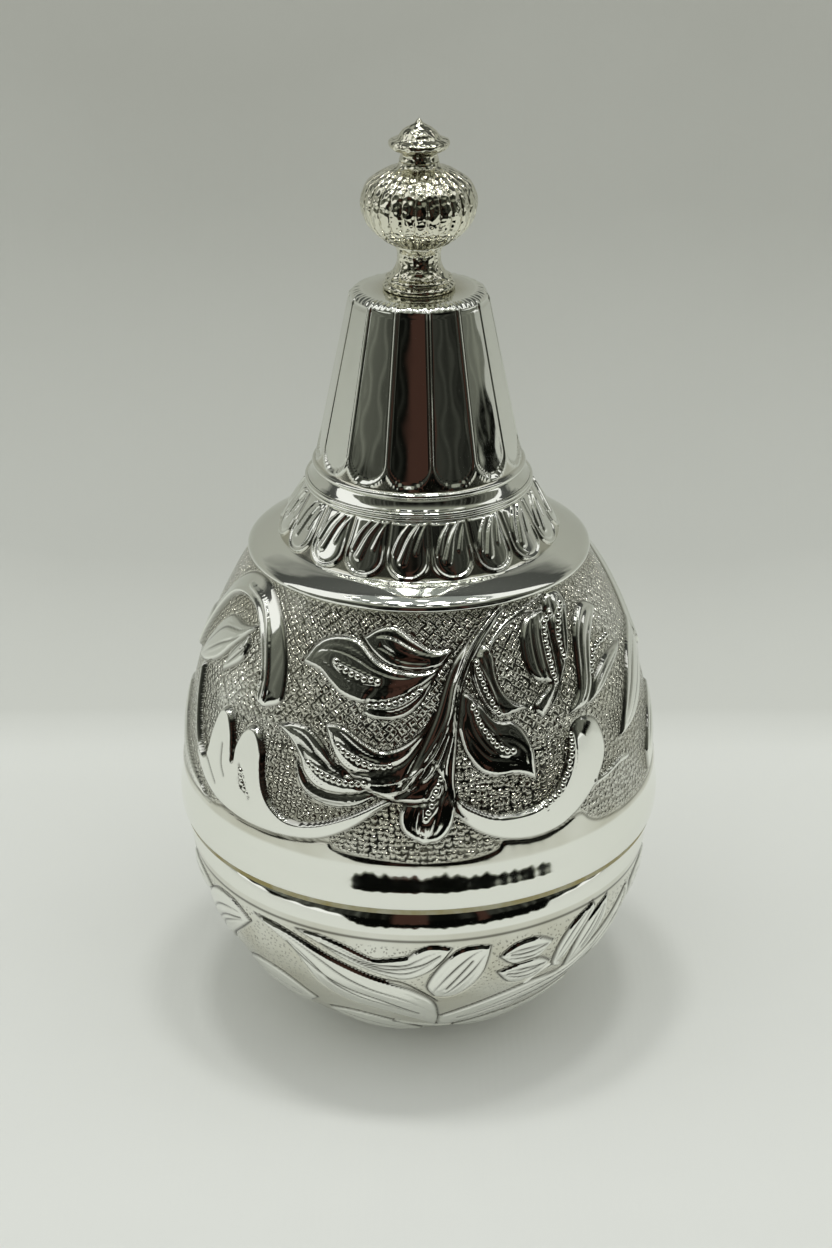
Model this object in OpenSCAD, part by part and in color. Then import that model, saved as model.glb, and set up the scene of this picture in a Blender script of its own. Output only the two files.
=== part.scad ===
// Lidded box of embossed, silver-plated sheet metal: a round-bottomed bowl, a tall
// domed lid with a tongued neck, and a turned finial bolted through the neck's top.
// Millimetres, +Z up, origin at the centre of the flat under the bowl.

/* [Sheet] */
// Thickness of the raised sheet
sheet = 0.8; // [0.6:0.1:1.0]

/* [Bowl] */
// Radius of the sphere-like bowl at its widest
bowl_r = 38.35; // [38:0.05:38.8]
// Radius of the flat that the bowl stands on
foot_r = 10.4; // [9:0.1:11]
// Height of the bowl's ledge, where the lid rests
ledge_z = 39; // [38.8:0.1:39.1]

/* [Lid] */
// Largest radius of the lid
lid_r = 39.7; // [39.5:0.1:40.5]
// Height at which the relief field begins, above the plain band
field_z = 47.6; // [47:0.1:49]
// Radius of the collar inside the mouth, which the lid slides over
collar_r = 35.6; // [35:0.1:35.8]
// Height that the collar stands above the ledge
collar_rise = 6; // [4:0.5:8]

/* [Relief] */
// Height that the leaves and scrolls stand above the dome
leaf_rise = 0.5; // [0.3:0.1:0.6]
// Number of times that the pattern repeats round the dome
repeats = 2; // [1:1:2]

/* [Gadroons] */
// Number of lobes in the band under the neck
lobes = 19; // [16:1:22]
// Height that the lobes stand above their ground
lobe_rise = 0.5; // [0.3:0.1:0.6]

/* [Neck] */
// Number of tongues round the neck
tongues = 14; // [12:1:16]
// Depth that the flat tongues are sunk below the ridges between them
tongue_sink = 0.12; // [0.05:0.01:0.2]

/* [Finial] */
// Largest radius of the melon-shaped ball
ball_r = 8.9; // [8:0.1:9.5]
// Number of ribs on the ball
ribs = 28; // [20:1:32]
// Height that the ribs stand above the grooves between them
rib_rise = 0.4; // [0.2:0.05:0.6]

/* [Hidden] */
silver = [0.86, 0.86, 0.83];
brass = [0.62, 0.56, 0.38];
steel = [0.55, 0.56, 0.57];
slack = 0.05;          // gap between the lid and the ledge
slide_fit = 0.3;       // radial gap between the lid's ring and the collar
overlap = 2.2;         // length of a soldered lap joint
rib_gap = 0.35;        // width of a groove on the melon

// Leaves of one repeat: degrees right of the front, height, turn, length, width and bow
LEAVES = [
    [-21, 64.3, 80, 21, 5, -2.7], [-19, 61.3, 82, 15, 2, -4.7], [-10, 69.7, 99, 17, 5, -6],
    [-13, 77, 96, 22, 7, -1], [-3.5, 80.3, 84, 13, 4.5, -1], [-5, 74.2, 113, 12, 2.6, -3.2],
    [19, 66.2, 41, 18, 7.5, 0], [23, 74.8, 37, 12, 4.2, -2.2], [39, 75.5, -18, 17, 8.5, 1],
    [54, 73.6, -48, 19, 5, -1.5], [60, 69.7, -70, 15, 2.6, -0.8], [74, 65.8, -57, 23, 7, 0.6],
    [-69, 72, -53, 21, 5, -0.8], [-76, 55, 62, 20, 4.6, -2.2], [81, 56.5, -60, 14, 5, 0.5],
    [3, 57.7, -13, 12, 7.5, 0]
];
// Scroll bands and stems of one repeat, in the same terms
SCROLLS = [
    [-20, 55, 111, 22, 2.4, -1.4], [-44, 58, -10, 14, 5, -1], [-56.5, 58, 12, 14, 4.6, 0.6],
    [-48, 51.5, 92, 24, 3, -1.2], [-68, 60.5, 30, 23, 4.2, -2.5], [22, 54.8, 73, 20, 3.4, -1.9],
    [40, 58.5, -38, 17, 6, 2.4], [-79, 77, -40, 18, 3.8, -1.6], [-54, 76.5, 38, 22, 4.2, 3.6],
    [17, 76.8, -30, 20, 2.4, -2.4], [1.5, 65.5, -30, 16, 2.4, 0], [8.5, 64, -2, 16, 2, -0.8]
];

// Heights up the axis
rim_ring_z = ledge_z + slack;
lid_edge_z = rim_ring_z + 0.8;
lid_wide_z = 43.5;
dome_centre_z = 38;
dome_rise = 62.5;
dome_top_z = 84.6;
dome_lip_z = 85.4;
band_z = dome_top_z;
gadroon_z = 87.4;
ring_z = 95.3;
ring_h = 1.35;
throat_z = 98.4;
neck_top_z = 126.6;
ball_low_z = 133.6;
ball_z = 139.7;
cap_z = 146.1;
tip_z = 152.4;

// Radii
dome_r = lid_r - 0.1;
lid_edge_r = lid_r - 0.7;
dome_lip_r = dome_r * cos(angle_at(dome_top_z, dome_centre_z, dome_rise));
band_r = 27.3;
gadroon_low_r = 22.4;
gadroon_top_r = 17.6;
throat_low_r = 17.5;
throat_r = 16.2;
lap_r = 15.3;
ring_seat_r = 17.1;
neck_wall = 1.1;
neck_low_r = 16.45;
neck_high_r = 10.5;
neck_edge_round = 1.3;
neck_edge_w = 2.3;
stud_r = 1.5;
stud_hole_r = 1.6;

// Points of an ellipse's arc in the (radius, height) plane, from angle a to angle b
function arc(centre, rx, rz, a, b, n) =
    [for (i = [0:n]) let (t = a + (b - a) * i / n) [centre[0] + rx * cos(t), centre[1] + rz * sin(t)]];

// The same list, last point first
function reversed(list) = [for (i = [len(list) - 1:-1:0]) list[i]];

// Angle on an ellipse where it reaches a height
function angle_at(z, centre_z, rz) = asin((z - centre_z) / rz);

// Bowl: an upright ellipse, flattened where it stands and turned in at a small shoulder
bowl_centre_z = 38.4;
bowl_drop = 39.3;
bowl_wide_z = 34.6;
shoulder_w = 2.6;
shoulder_h = 4.6;
function bowl_side(inset) =
    let (
        low = asin((1.2 - bowl_centre_z) / bowl_drop),
        high = asin((bowl_wide_z - bowl_centre_z) / bowl_drop)
    )
    arc([0, bowl_centre_z], bowl_r - inset, bowl_drop - inset, low, high, 20);
function bowl_shoulder(inset) =
    let (
        r = bowl_r * cos(asin((bowl_wide_z - bowl_centre_z) / bowl_drop)) - shoulder_w,
        top = asin((ledge_z - bowl_wide_z) / shoulder_h)
    )
    arc([r, bowl_wide_z], shoulder_w - inset, shoulder_h - inset, 8, top, 7);

// Straight cone's radius at a height
function between(z, z0, r0, z1, r1) = r0 + (r1 - r0) * (z - z0) / (z1 - z0);
function neck_r(z) = between(z, throat_z, neck_low_r, neck_top_z, neck_high_r);
function dome_radius(z) = dome_r * cos(angle_at(z, dome_centre_z, dome_rise));
function dome_lean(z) =
    atan(dome_r / dome_rise * (z - dome_centre_z) / dome_rise / cos(angle_at(z, dome_centre_z, dome_rise)));
function gadroon_r(z) = between(z, gadroon_z, gadroon_low_r, ring_z, gadroon_top_r);

module revolve(points) {
    rotate_extrude($fn = 96) polygon(points);
}

module ring(inner, outer, z0, z1) {
    translate([0, 0, z0]) difference() {
        cylinder(r = outer, h = z1 - z0, $fn = 96);
        translate([0, 0, -1]) cylinder(r = inner, h = z1 - z0 + 2, $fn = 96);
    }
}

// A tongue's outline: straight sides that taper from a round lower end to the top
module tongue_outline(low_w, top_w, length) {
    polygon([[-low_w / 2, 0], [low_w / 2, 0], [top_w / 2, length], [-top_w / 2, length]]);
    circle(d = low_w, $fn = 48);
}

// Tongue-shaped blocks that stand out from planes at radius r, leaning in by lean
module tongue_blocks(count, r, z, lean, low_w, top_w, length, turn = 0) {
    for (i = [0:count - 1])
        rotate([0, 0, turn + i * 360 / count])
            translate([r, 0, z])
                rotate([0, -lean, 0])
                    rotate([90, 0, 90])
                        linear_extrude(4)
                            tongue_outline(low_w, top_w, length);
}

// Raised hemisphere with a flat foot, and a shoulder turned in to a ledge at the mouth
module bowl_shell() {
    outer = concat([[0, 0], [foot_r, 0], [foot_r + 1, 0.35]], bowl_side(0), bowl_shoulder(0),
        [[collar_r, ledge_z]]);
    inner = concat([[0, sheet], [foot_r, sheet]], bowl_side(sheet), bowl_shoulder(sheet),
        [[collar_r, ledge_z - sheet]]);
    color(silver) revolve(concat(outer, reversed(inner)));
}

// Sleeve soldered inside the mouth; the lid slides over the part that stands up
module bowl_collar() {
    top = ledge_z + collar_rise;
    color(silver) ring(collar_r - sheet, collar_r, ledge_z - 7, top);
}

// Domed skirt of the lid: plain band at the edge, then the field that carries the relief
module lid_dome() {
    band = concat(
        [[lid_edge_r, lid_edge_z]],
        arc([lid_r - 9, lid_wide_z], 9, 9, -20, 0, 5),
        [[lid_r, lid_wide_z + 1.6]]
    );
    first = angle_at(field_z, dome_centre_z, dome_rise);
    last = angle_at(dome_top_z, dome_centre_z, dome_rise);
    side = arc([0, dome_centre_z], dome_r, dome_rise, first, last, 26);
    inner_side = arc([0, dome_centre_z], dome_r - sheet, dome_rise - sheet, first, last, 26);
    lip = [[dome_lip_r, dome_lip_z], [dome_lip_r - sheet, dome_lip_z]];
    inner_band = [[lid_edge_r - sheet, lid_edge_z], [lid_r - sheet, lid_wide_z]];
    color(silver) union() {
        revolve(concat(band, side, lip, reversed(inner_side), reversed(inner_band)));
        intersection() {
            relief_skin();
            leaf_blocks(concat(LEAVES, SCROLLS));
        }
    }
}

// Skin over the dome that the leaves are cut from
module relief_skin() {
    low = angle_at(field_z + 0.8, dome_centre_z, dome_rise);
    high = angle_at(dome_top_z - 1, dome_centre_z, dome_rise);
    out = leaf_rise;
    sunk = -sheet / 2;
    revolve(concat(
        arc([0, dome_centre_z], dome_r + out, dome_rise + out, low, high, 12),
        arc([0, dome_centre_z], dome_r + sunk, dome_rise + sunk, high, low, 6)
    ));
}

// Leaf-shaped blocks that cross the dome's wall, one for each row of the list and repeat
module leaf_blocks(list) {
    for (k = [0:repeats - 1], l = list)
        rotate([0, 0, l[0] - 90 + k * 360 / repeats])
            translate([dome_radius(l[1]), 0, l[1]])
                rotate([0, -dome_lean(l[1]), 0])
                    rotate([90, 0, 90])
                        translate([0, 0, -3])
                            linear_extrude(5)
                                rotate([0, 0, l[2]])
                                    leaf(l[3], l[4], l[5]);
}

// Leaf that runs from its root to its tip along +Y, bellied by its width and bowed sideways
module leaf(length, width, bow) {
    right = leaf_edge(length, bow + width / 2);
    left = leaf_edge(length, bow - width / 2);
    polygon(concat([[0, -length / 2]], right, [[0, length / 2]], reversed(left)));
}

// Inner points of one edge of a leaf, which swells to one side by some amount
function leaf_edge(length, swell) =
    [for (i = [1:5]) [swell * sin(180 * i / 6), (i / 6 - 0.5) * length]];

// Flat brass ring that stiffens the lid's edge, rests on the ledge and centres the lid
module lid_rim_ring() {
    color(brass) ring(collar_r + slide_fit, lid_edge_r + 0.1, rim_ring_z, lid_edge_z);
}

// Stepped collar over the dome's top: rolled plain band, lobed band and throat
module gadroon_collar() {
    roll = arc([gadroon_low_r + 0.3, band_z], band_r - gadroon_low_r - 0.3, gadroon_z - band_z, 0, 90, 10);
    outer = concat(roll, [[gadroon_low_r, gadroon_z], [gadroon_top_r, ring_z], [ring_seat_r, ring_z],
        [ring_seat_r, ring_z + ring_h], [throat_low_r, ring_z + ring_h], [throat_r, throat_z],
        [lap_r, throat_z], [lap_r - 0.35, throat_z + overlap]]);
    seat_r = dome_lip_r + 0.02;
    inner = [[seat_r, band_z], [seat_r, dome_lip_z + 0.02], [dome_lip_r - 1.2, dome_lip_z + 0.5],
        [gadroon_low_r - 0.5, gadroon_z - sheet * 0.8], [gadroon_top_r - sheet, ring_z - 0.7],
        [ring_seat_r - sheet, ring_z - 0.2], [ring_seat_r - sheet, ring_z + ring_h],
        [lap_r - sheet, throat_z], [lap_r - 0.35 - sheet, throat_z + overlap]];
    lean = atan((gadroon_low_r - gadroon_top_r) / (ring_z - gadroon_z));
    low_w = 2 * PI * gadroon_low_r / lobes - 0.7;
    top_w = 2 * PI * gadroon_top_r / lobes - 0.5;
    root_z = gadroon_z + low_w / 2 * cos(lean) + 0.2;
    color(silver) union() {
        revolve(concat(outer, reversed(inner)));
        intersection() {
            lobe_skin();
            tongue_blocks(lobes, gadroon_r(root_z) - 2, root_z, lean, low_w, top_w, 4.2);
        }
    }
}

// Skin that the lobes are cut from: raised in the middle, so that each lobe is a low pillow
module lobe_skin() {
    z1 = ring_z - 0.6;
    revolve([
        [gadroon_r(gadroon_z) - sheet / 2, gadroon_z],
        [gadroon_r(gadroon_z) + lobe_rise * 0.4, gadroon_z],
        [gadroon_r(gadroon_z + 2.5) + lobe_rise, gadroon_z + 2.5],
        [gadroon_r(gadroon_z + 5) + lobe_rise, gadroon_z + 5],
        [gadroon_r(z1) + 0.1, z1],
        [gadroon_r(z1) - sheet / 2, z1]
    ]);
}

// Pair of wires, drawn as one strip, soldered in the step under the throat
module neck_ring() {
    wire = ring_h / 4;
    color(silver) rotate_extrude($fn = 96) union() {
        translate([ring_seat_r, ring_z]) square([0.45, ring_h]);
        translate([ring_seat_r + 0.5, ring_z + wire]) circle(r = wire, $fn = 24);
        translate([ring_seat_r + 0.4, ring_z + 3 * wire]) circle(r = wire, $fn = 24);
    }
}

// Tapered neck with a closed top, chased with round-ended flat tongues
module fluted_neck() {
    edge_z = neck_top_z - neck_edge_round;
    outer = concat(
        [[lap_r + 0.02, throat_z], [neck_low_r, throat_z], [neck_r(edge_z), edge_z]],
        arc([neck_r(edge_z) - neck_edge_w, edge_z], neck_edge_w, neck_edge_round, 15, 90, 6)
    );
    inner = [[stud_hole_r, neck_top_z], [stud_hole_r, neck_top_z - 1],
        [neck_r(edge_z) - neck_edge_w - 0.6, neck_top_z - 1], [neck_r(edge_z) - neck_wall, edge_z - 0.7],
        [lap_r - 0.33, throat_z + overlap]];
    low_w = 2 * PI * neck_low_r / tongues - 0.8;
    top_w = 2 * PI * neck_high_r / tongues - 0.6;
    root_z = throat_z + low_w / 2 + 1.4;
    low_floor = tongue_floor(root_z, low_w);
    high_floor = tongue_floor(neck_top_z, top_w);
    lean = atan((low_floor - high_floor) / (neck_top_z - root_z));
    color(silver) union() {
        edge_bead();
        difference() {
            revolve(concat(outer, inner));
            tongue_blocks(tongues, low_floor, root_z, lean, low_w, top_w,
                (edge_z - root_z - 0.3) / cos(lean), tongue_turn);
        }
    }
}

// Distance from the axis to a flat tongue of some width, just sunk below its two edges
function tongue_floor(z, width) = sqrt(pow(neck_r(z), 2) - pow(width / 2, 2)) - tongue_sink;

// Turn of the first tongue, so that a ridge lies just right of the front
tongue_turn = -90 + 4.5 + 180 / tongues;

// Bead round the neck's lower edge
module edge_bead() {
    rotate_extrude($fn = 96) translate([neck_low_r, throat_z + 0.4]) circle(r = 0.4, $fn = 20);
}

// Turned foot of the finial: flange, ring and waisted stem, bored for the stud
module finial_foot() {
    z = neck_top_z;
    color(silver) revolve(concat(
        [[stud_hole_r, z], [5, z]],
        arc([4.9, z + 0.55], 0.66, 0.5, -60, 80, 7),
        arc([4.45, z + 1.5], 0.68, 0.45, -60, 80, 6),
        [[4.25, z + 2.4], [3.64, z + 3.3], [3.33, z + 4.6], [3.33, z + 5.5], [3.78, z + 6.6],
            [3.9, ball_low_z], [stud_hole_r, ball_low_z]]
    ));
}

// Ribbed melon: a bored core with a ring of ribs parted by narrow meridian grooves
module finial_ball() {
    color(silver) union() {
        revolve(concat([[stud_hole_r, ball_low_z], [3.3, ball_low_z]], melon_arc(rib_rise),
            [[3.1, cap_z], [stud_hole_r, cap_z]]));
        difference() {
            revolve(concat([[2.6, ball_z - 5.2]], melon_arc(0), [[2.6, ball_z + 5.2]]));
            for (i = [0:ribs - 1])
                rotate([0, 0, i * 360 / ribs])
                    translate([2.2, -rib_gap / 2, ball_z - 9]) cube([12, rib_gap, 18]);
        }
    }
}

// Side of the melon, set in by some amount
function melon_arc(inset) = arc([0, ball_z], ball_r - inset, 6.45 - inset, -63, 63, 14);

// Spool and pointed cap that screws down on the stud and holds the ball
module finial_cap() {
    depth = 3;
    color(silver) revolve(concat(
        [[stud_r + 0.02, cap_z], [3.2, cap_z], [3.2, cap_z + 0.5], [2.85, cap_z + 0.7],
            [3.25, cap_z + 1.1], [3.25, cap_z + 1.4], [3.7, cap_z + 1.9], [4.45, cap_z + 2.3]],
        arc([4.25, cap_z + 2.75], 0.4, 0.35, -30, 90, 5),
        [[3.1, cap_z + 3.7], [2.3, cap_z + 4.5], [1.5, cap_z + 5.1], [0.7, cap_z + 5.6],
            [0.35, tip_z - 0.2], [0, tip_z], [0, cap_z + depth], [stud_r + 0.02, cap_z + depth]]
    ));
}

// Rod through the neck's top that the whole finial is threaded on
module finial_stud() {
    low = neck_top_z - 5.6;
    color(brass) translate([0, 0, low]) cylinder(r = stud_r, h = cap_z + 2.8 - low, $fn = 32);
}

module finial_washer() {
    top = neck_top_z - 1;
    color(brass) ring(stud_hole_r, 4, top - 0.7, top);
}

module finial_nut() {
    top = neck_top_z - 1.7;
    color(steel) difference() {
        translate([0, 0, top - 2.4]) cylinder(r = 3.1, h = 2.4, $fn = 6);
        translate([0, 0, top - 4]) cylinder(r = stud_r + 0.02, h = 6, $fn = 32);
    }
}

bowl_shell();
bowl_collar();
lid_dome();
lid_rim_ring();
gadroon_collar();
neck_ring();
fluted_neck();
finial_foot();
finial_ball();
finial_cap();
finial_stud();
finial_washer();
finial_nut();
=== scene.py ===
"""The looks of an embossed, silver-plated lidded box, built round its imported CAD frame."""

import logging
import math
from dataclasses import dataclass, field
from enum import Enum

import bpy
import numpy as np
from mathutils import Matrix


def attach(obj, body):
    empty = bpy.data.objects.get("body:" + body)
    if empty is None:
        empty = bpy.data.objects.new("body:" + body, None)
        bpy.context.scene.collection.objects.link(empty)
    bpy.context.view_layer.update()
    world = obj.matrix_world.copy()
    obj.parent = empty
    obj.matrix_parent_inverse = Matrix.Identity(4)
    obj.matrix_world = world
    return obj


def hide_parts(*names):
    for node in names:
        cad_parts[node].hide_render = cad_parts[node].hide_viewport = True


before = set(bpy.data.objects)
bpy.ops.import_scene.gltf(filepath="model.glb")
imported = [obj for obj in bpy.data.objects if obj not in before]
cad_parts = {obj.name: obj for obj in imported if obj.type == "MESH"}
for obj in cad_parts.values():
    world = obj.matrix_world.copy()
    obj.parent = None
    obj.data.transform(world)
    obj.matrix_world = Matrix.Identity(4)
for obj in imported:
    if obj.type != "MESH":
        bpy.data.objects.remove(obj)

LOG = logging.getLogger("lidded_box")
MM = 0.001
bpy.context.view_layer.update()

Path = list[tuple[float, float]]
Leaf = tuple[Path, Path]
Window = tuple[slice, slice]
Tree = bpy.types.NodeTree
Node = bpy.types.Node
Socket = bpy.types.NodeSocket


class Body(Enum):
    """The two rigid bodies of the box."""

    BOWL = "bowl"
    LID = "lid"


def linear(hex_colour: str) -> tuple[float, float, float, float]:
    """Turn an sRGB hex colour into a linear one.

    Args:
        hex_colour: Six hex digits after a hash.

    Returns:
        Red, green, blue and an alpha of 1.
    """
    channels = [int(hex_colour[i : i + 2], 16) / 255 for i in (1, 3, 5)]
    red, green, blue = (c / 12.92 if c <= 0.04045 else ((c + 0.055) / 1.055) ** 2.4 for c in channels)
    return red, green, blue, 1.0


def add_node(
    tree: Tree,
    kind: str,
    inputs: dict | None = None,
    stops: dict[float, float | str] | None = None,
    **settings: object,
) -> Node:
    """Add a node with its settings, and fill or link its inputs.

    Args:
        tree: The node tree that gets the node.
        kind: The node's type name.
        inputs: Socket name or number to a value, to an output socket to link, or to a node
            whose first output is linked.
        stops: Grey value or sRGB colour at each position of a colour ramp, in rising order.
        **settings: Properties of the node.

    Returns:
        The new node.
    """
    node = tree.nodes.new(kind)
    for name, value in settings.items():
        setattr(node, name, value)
    for key, value in (inputs or {}).items():
        source = value.outputs[0] if isinstance(value, Node) else value
        if isinstance(source, Socket):
            tree.links.new(source, node.inputs[key])
        else:
            node.inputs[key].default_value = source
    for number, (position, shade) in enumerate((stops or {}).items()):
        elements = node.color_ramp.elements
        if number == 0:
            elements.remove(elements[1])
        stop = elements.new(position) if number else elements[0]
        stop.position = position
        stop.color = linear(shade) if isinstance(shade, str) else (shade, shade, shade, 1.0)
    return node


def smoothstep(low: float, high: float, x: np.ndarray) -> np.ndarray:
    """Rise smoothly from 0 at low to 1 at high."""
    t = np.clip((x - low) / (high - low), 0.0, 1.0)
    return t * t * (3.0 - 2.0 * t)


def bell(x: np.ndarray, width: float) -> np.ndarray:
    """Bell curve that is 1 at 0 and has fallen to 0.37 a width away."""
    return np.exp(-((x / width) ** 2))


def quarter_round(x: np.ndarray) -> np.ndarray:
    """Rise along a quarter of a circle, steep at 0 and level at 1."""
    return np.sqrt(np.clip(1 - (1 - np.clip(x, 0, 1)) ** 2, 0, 1))


def nearest(gaps: list[np.ndarray]) -> tuple[np.ndarray, np.ndarray]:
    """Find where along a line each of some points is nearest to it.

    Args:
        gaps: Distances of the points from each of the line's own points, in order.

    Returns:
        The least distance of each point, and its place along the line, 0 to 1.
    """
    stack = np.stack(gaps)
    return stack.min(0), stack.argmin(0) / (len(gaps) - 1)


def spline(points: Path, steps: int = 7) -> np.ndarray:
    """Draw a smooth line through some points.

    Args:
        points: The points that the line passes through.
        steps: How many short pieces each stretch is cut into.

    Returns:
        The line's points, one row each.
    """
    p = np.array(points, float)
    padded = np.vstack([2 * p[0] - p[1], p, 2 * p[-1] - p[-2]])
    t = np.linspace(0, 1, steps, endpoint=False)[:, None]
    parts = []
    for a, b, c, d in zip(padded[:-3], padded[1:-2], padded[2:-1], padded[3:]):
        curve = 2 * b + (c - a) * t + (2 * a - 5 * b + 4 * c - d) * t**2 + (3 * b - a - 3 * c + d) * t**3
        parts.append(0.5 * curve)
    return np.vstack([*parts, p[-1:]])


def hammer_wobble(theta: np.ndarray, z: np.ndarray, depth: float, seed: int) -> np.ndarray:
    """Slow unevenness that hand raising leaves in a sheet.

    Args:
        theta: Angle round the axis, radians.
        z: Height, millimetres.
        depth: Rough size of the unevenness, millimetres.
        seed: Fixed seed of the pattern.

    Returns:
        Height of the surface over its true shape, millimetres.
    """
    draw = np.random.default_rng(seed)
    total = np.zeros(np.broadcast(theta, z).shape)
    for _ in range(14):
        turns, pitch = draw.integers(1, 11), draw.uniform(9.0, 30.0)
        phase = draw.uniform(0, 2 * math.pi, 2)
        rise = 2 * math.pi * z / pitch
        total += np.sin(turns * theta + phase[0] + rise) * np.cos(rise + phase[1])
    return depth * total / 3.0


# ---------------------------------------------------------------- finishes

# A wave texture of scale 1 / width / RIDGES has ridges and gaps of about that width each.
RIDGES = 6.28

# Height of a punch mark's section by distance from its middle, in spacings.
RING_MARK = {0.0: 0.55, 0.07: 0.66, 0.14: 1.0, 0.24: 0.93, 0.34: 0.76, 0.43: 0.46, 0.54: 0.0}
PIT_MARK = {0.0: 0.0, 0.15: 0.1, 0.25: 0.8, 0.36: 1.0}
SQUARE_MARK = {0.0: 1.0, 0.1: 0.98, 0.2: 0.9, 0.3: 0.75, 0.39: 0.5, 0.47: 0.0}


@dataclass(frozen=True)
class Finish:
    """A surface finish.

    Attributes:
        name: Name of the material that it makes.
    """

    name: str

    def make(self) -> bpy.types.Material:
        """Build the material.

        Returns:
            A new material with the finish's nodes.
        """
        material = bpy.data.materials.new(self.name)
        material.use_nodes = True
        tree = material.node_tree
        tree.nodes.clear()
        add_node(tree, "ShaderNodeOutputMaterial", {"Surface": self.shade(tree)})
        return material

    def shade(self, tree: Tree) -> Node:
        """Lay the finish's nodes. Each finish has its own.

        Args:
            tree: The material's empty tree.

        Returns:
            The node whose first output is the surface.
        """
        raise NotImplementedError


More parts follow.
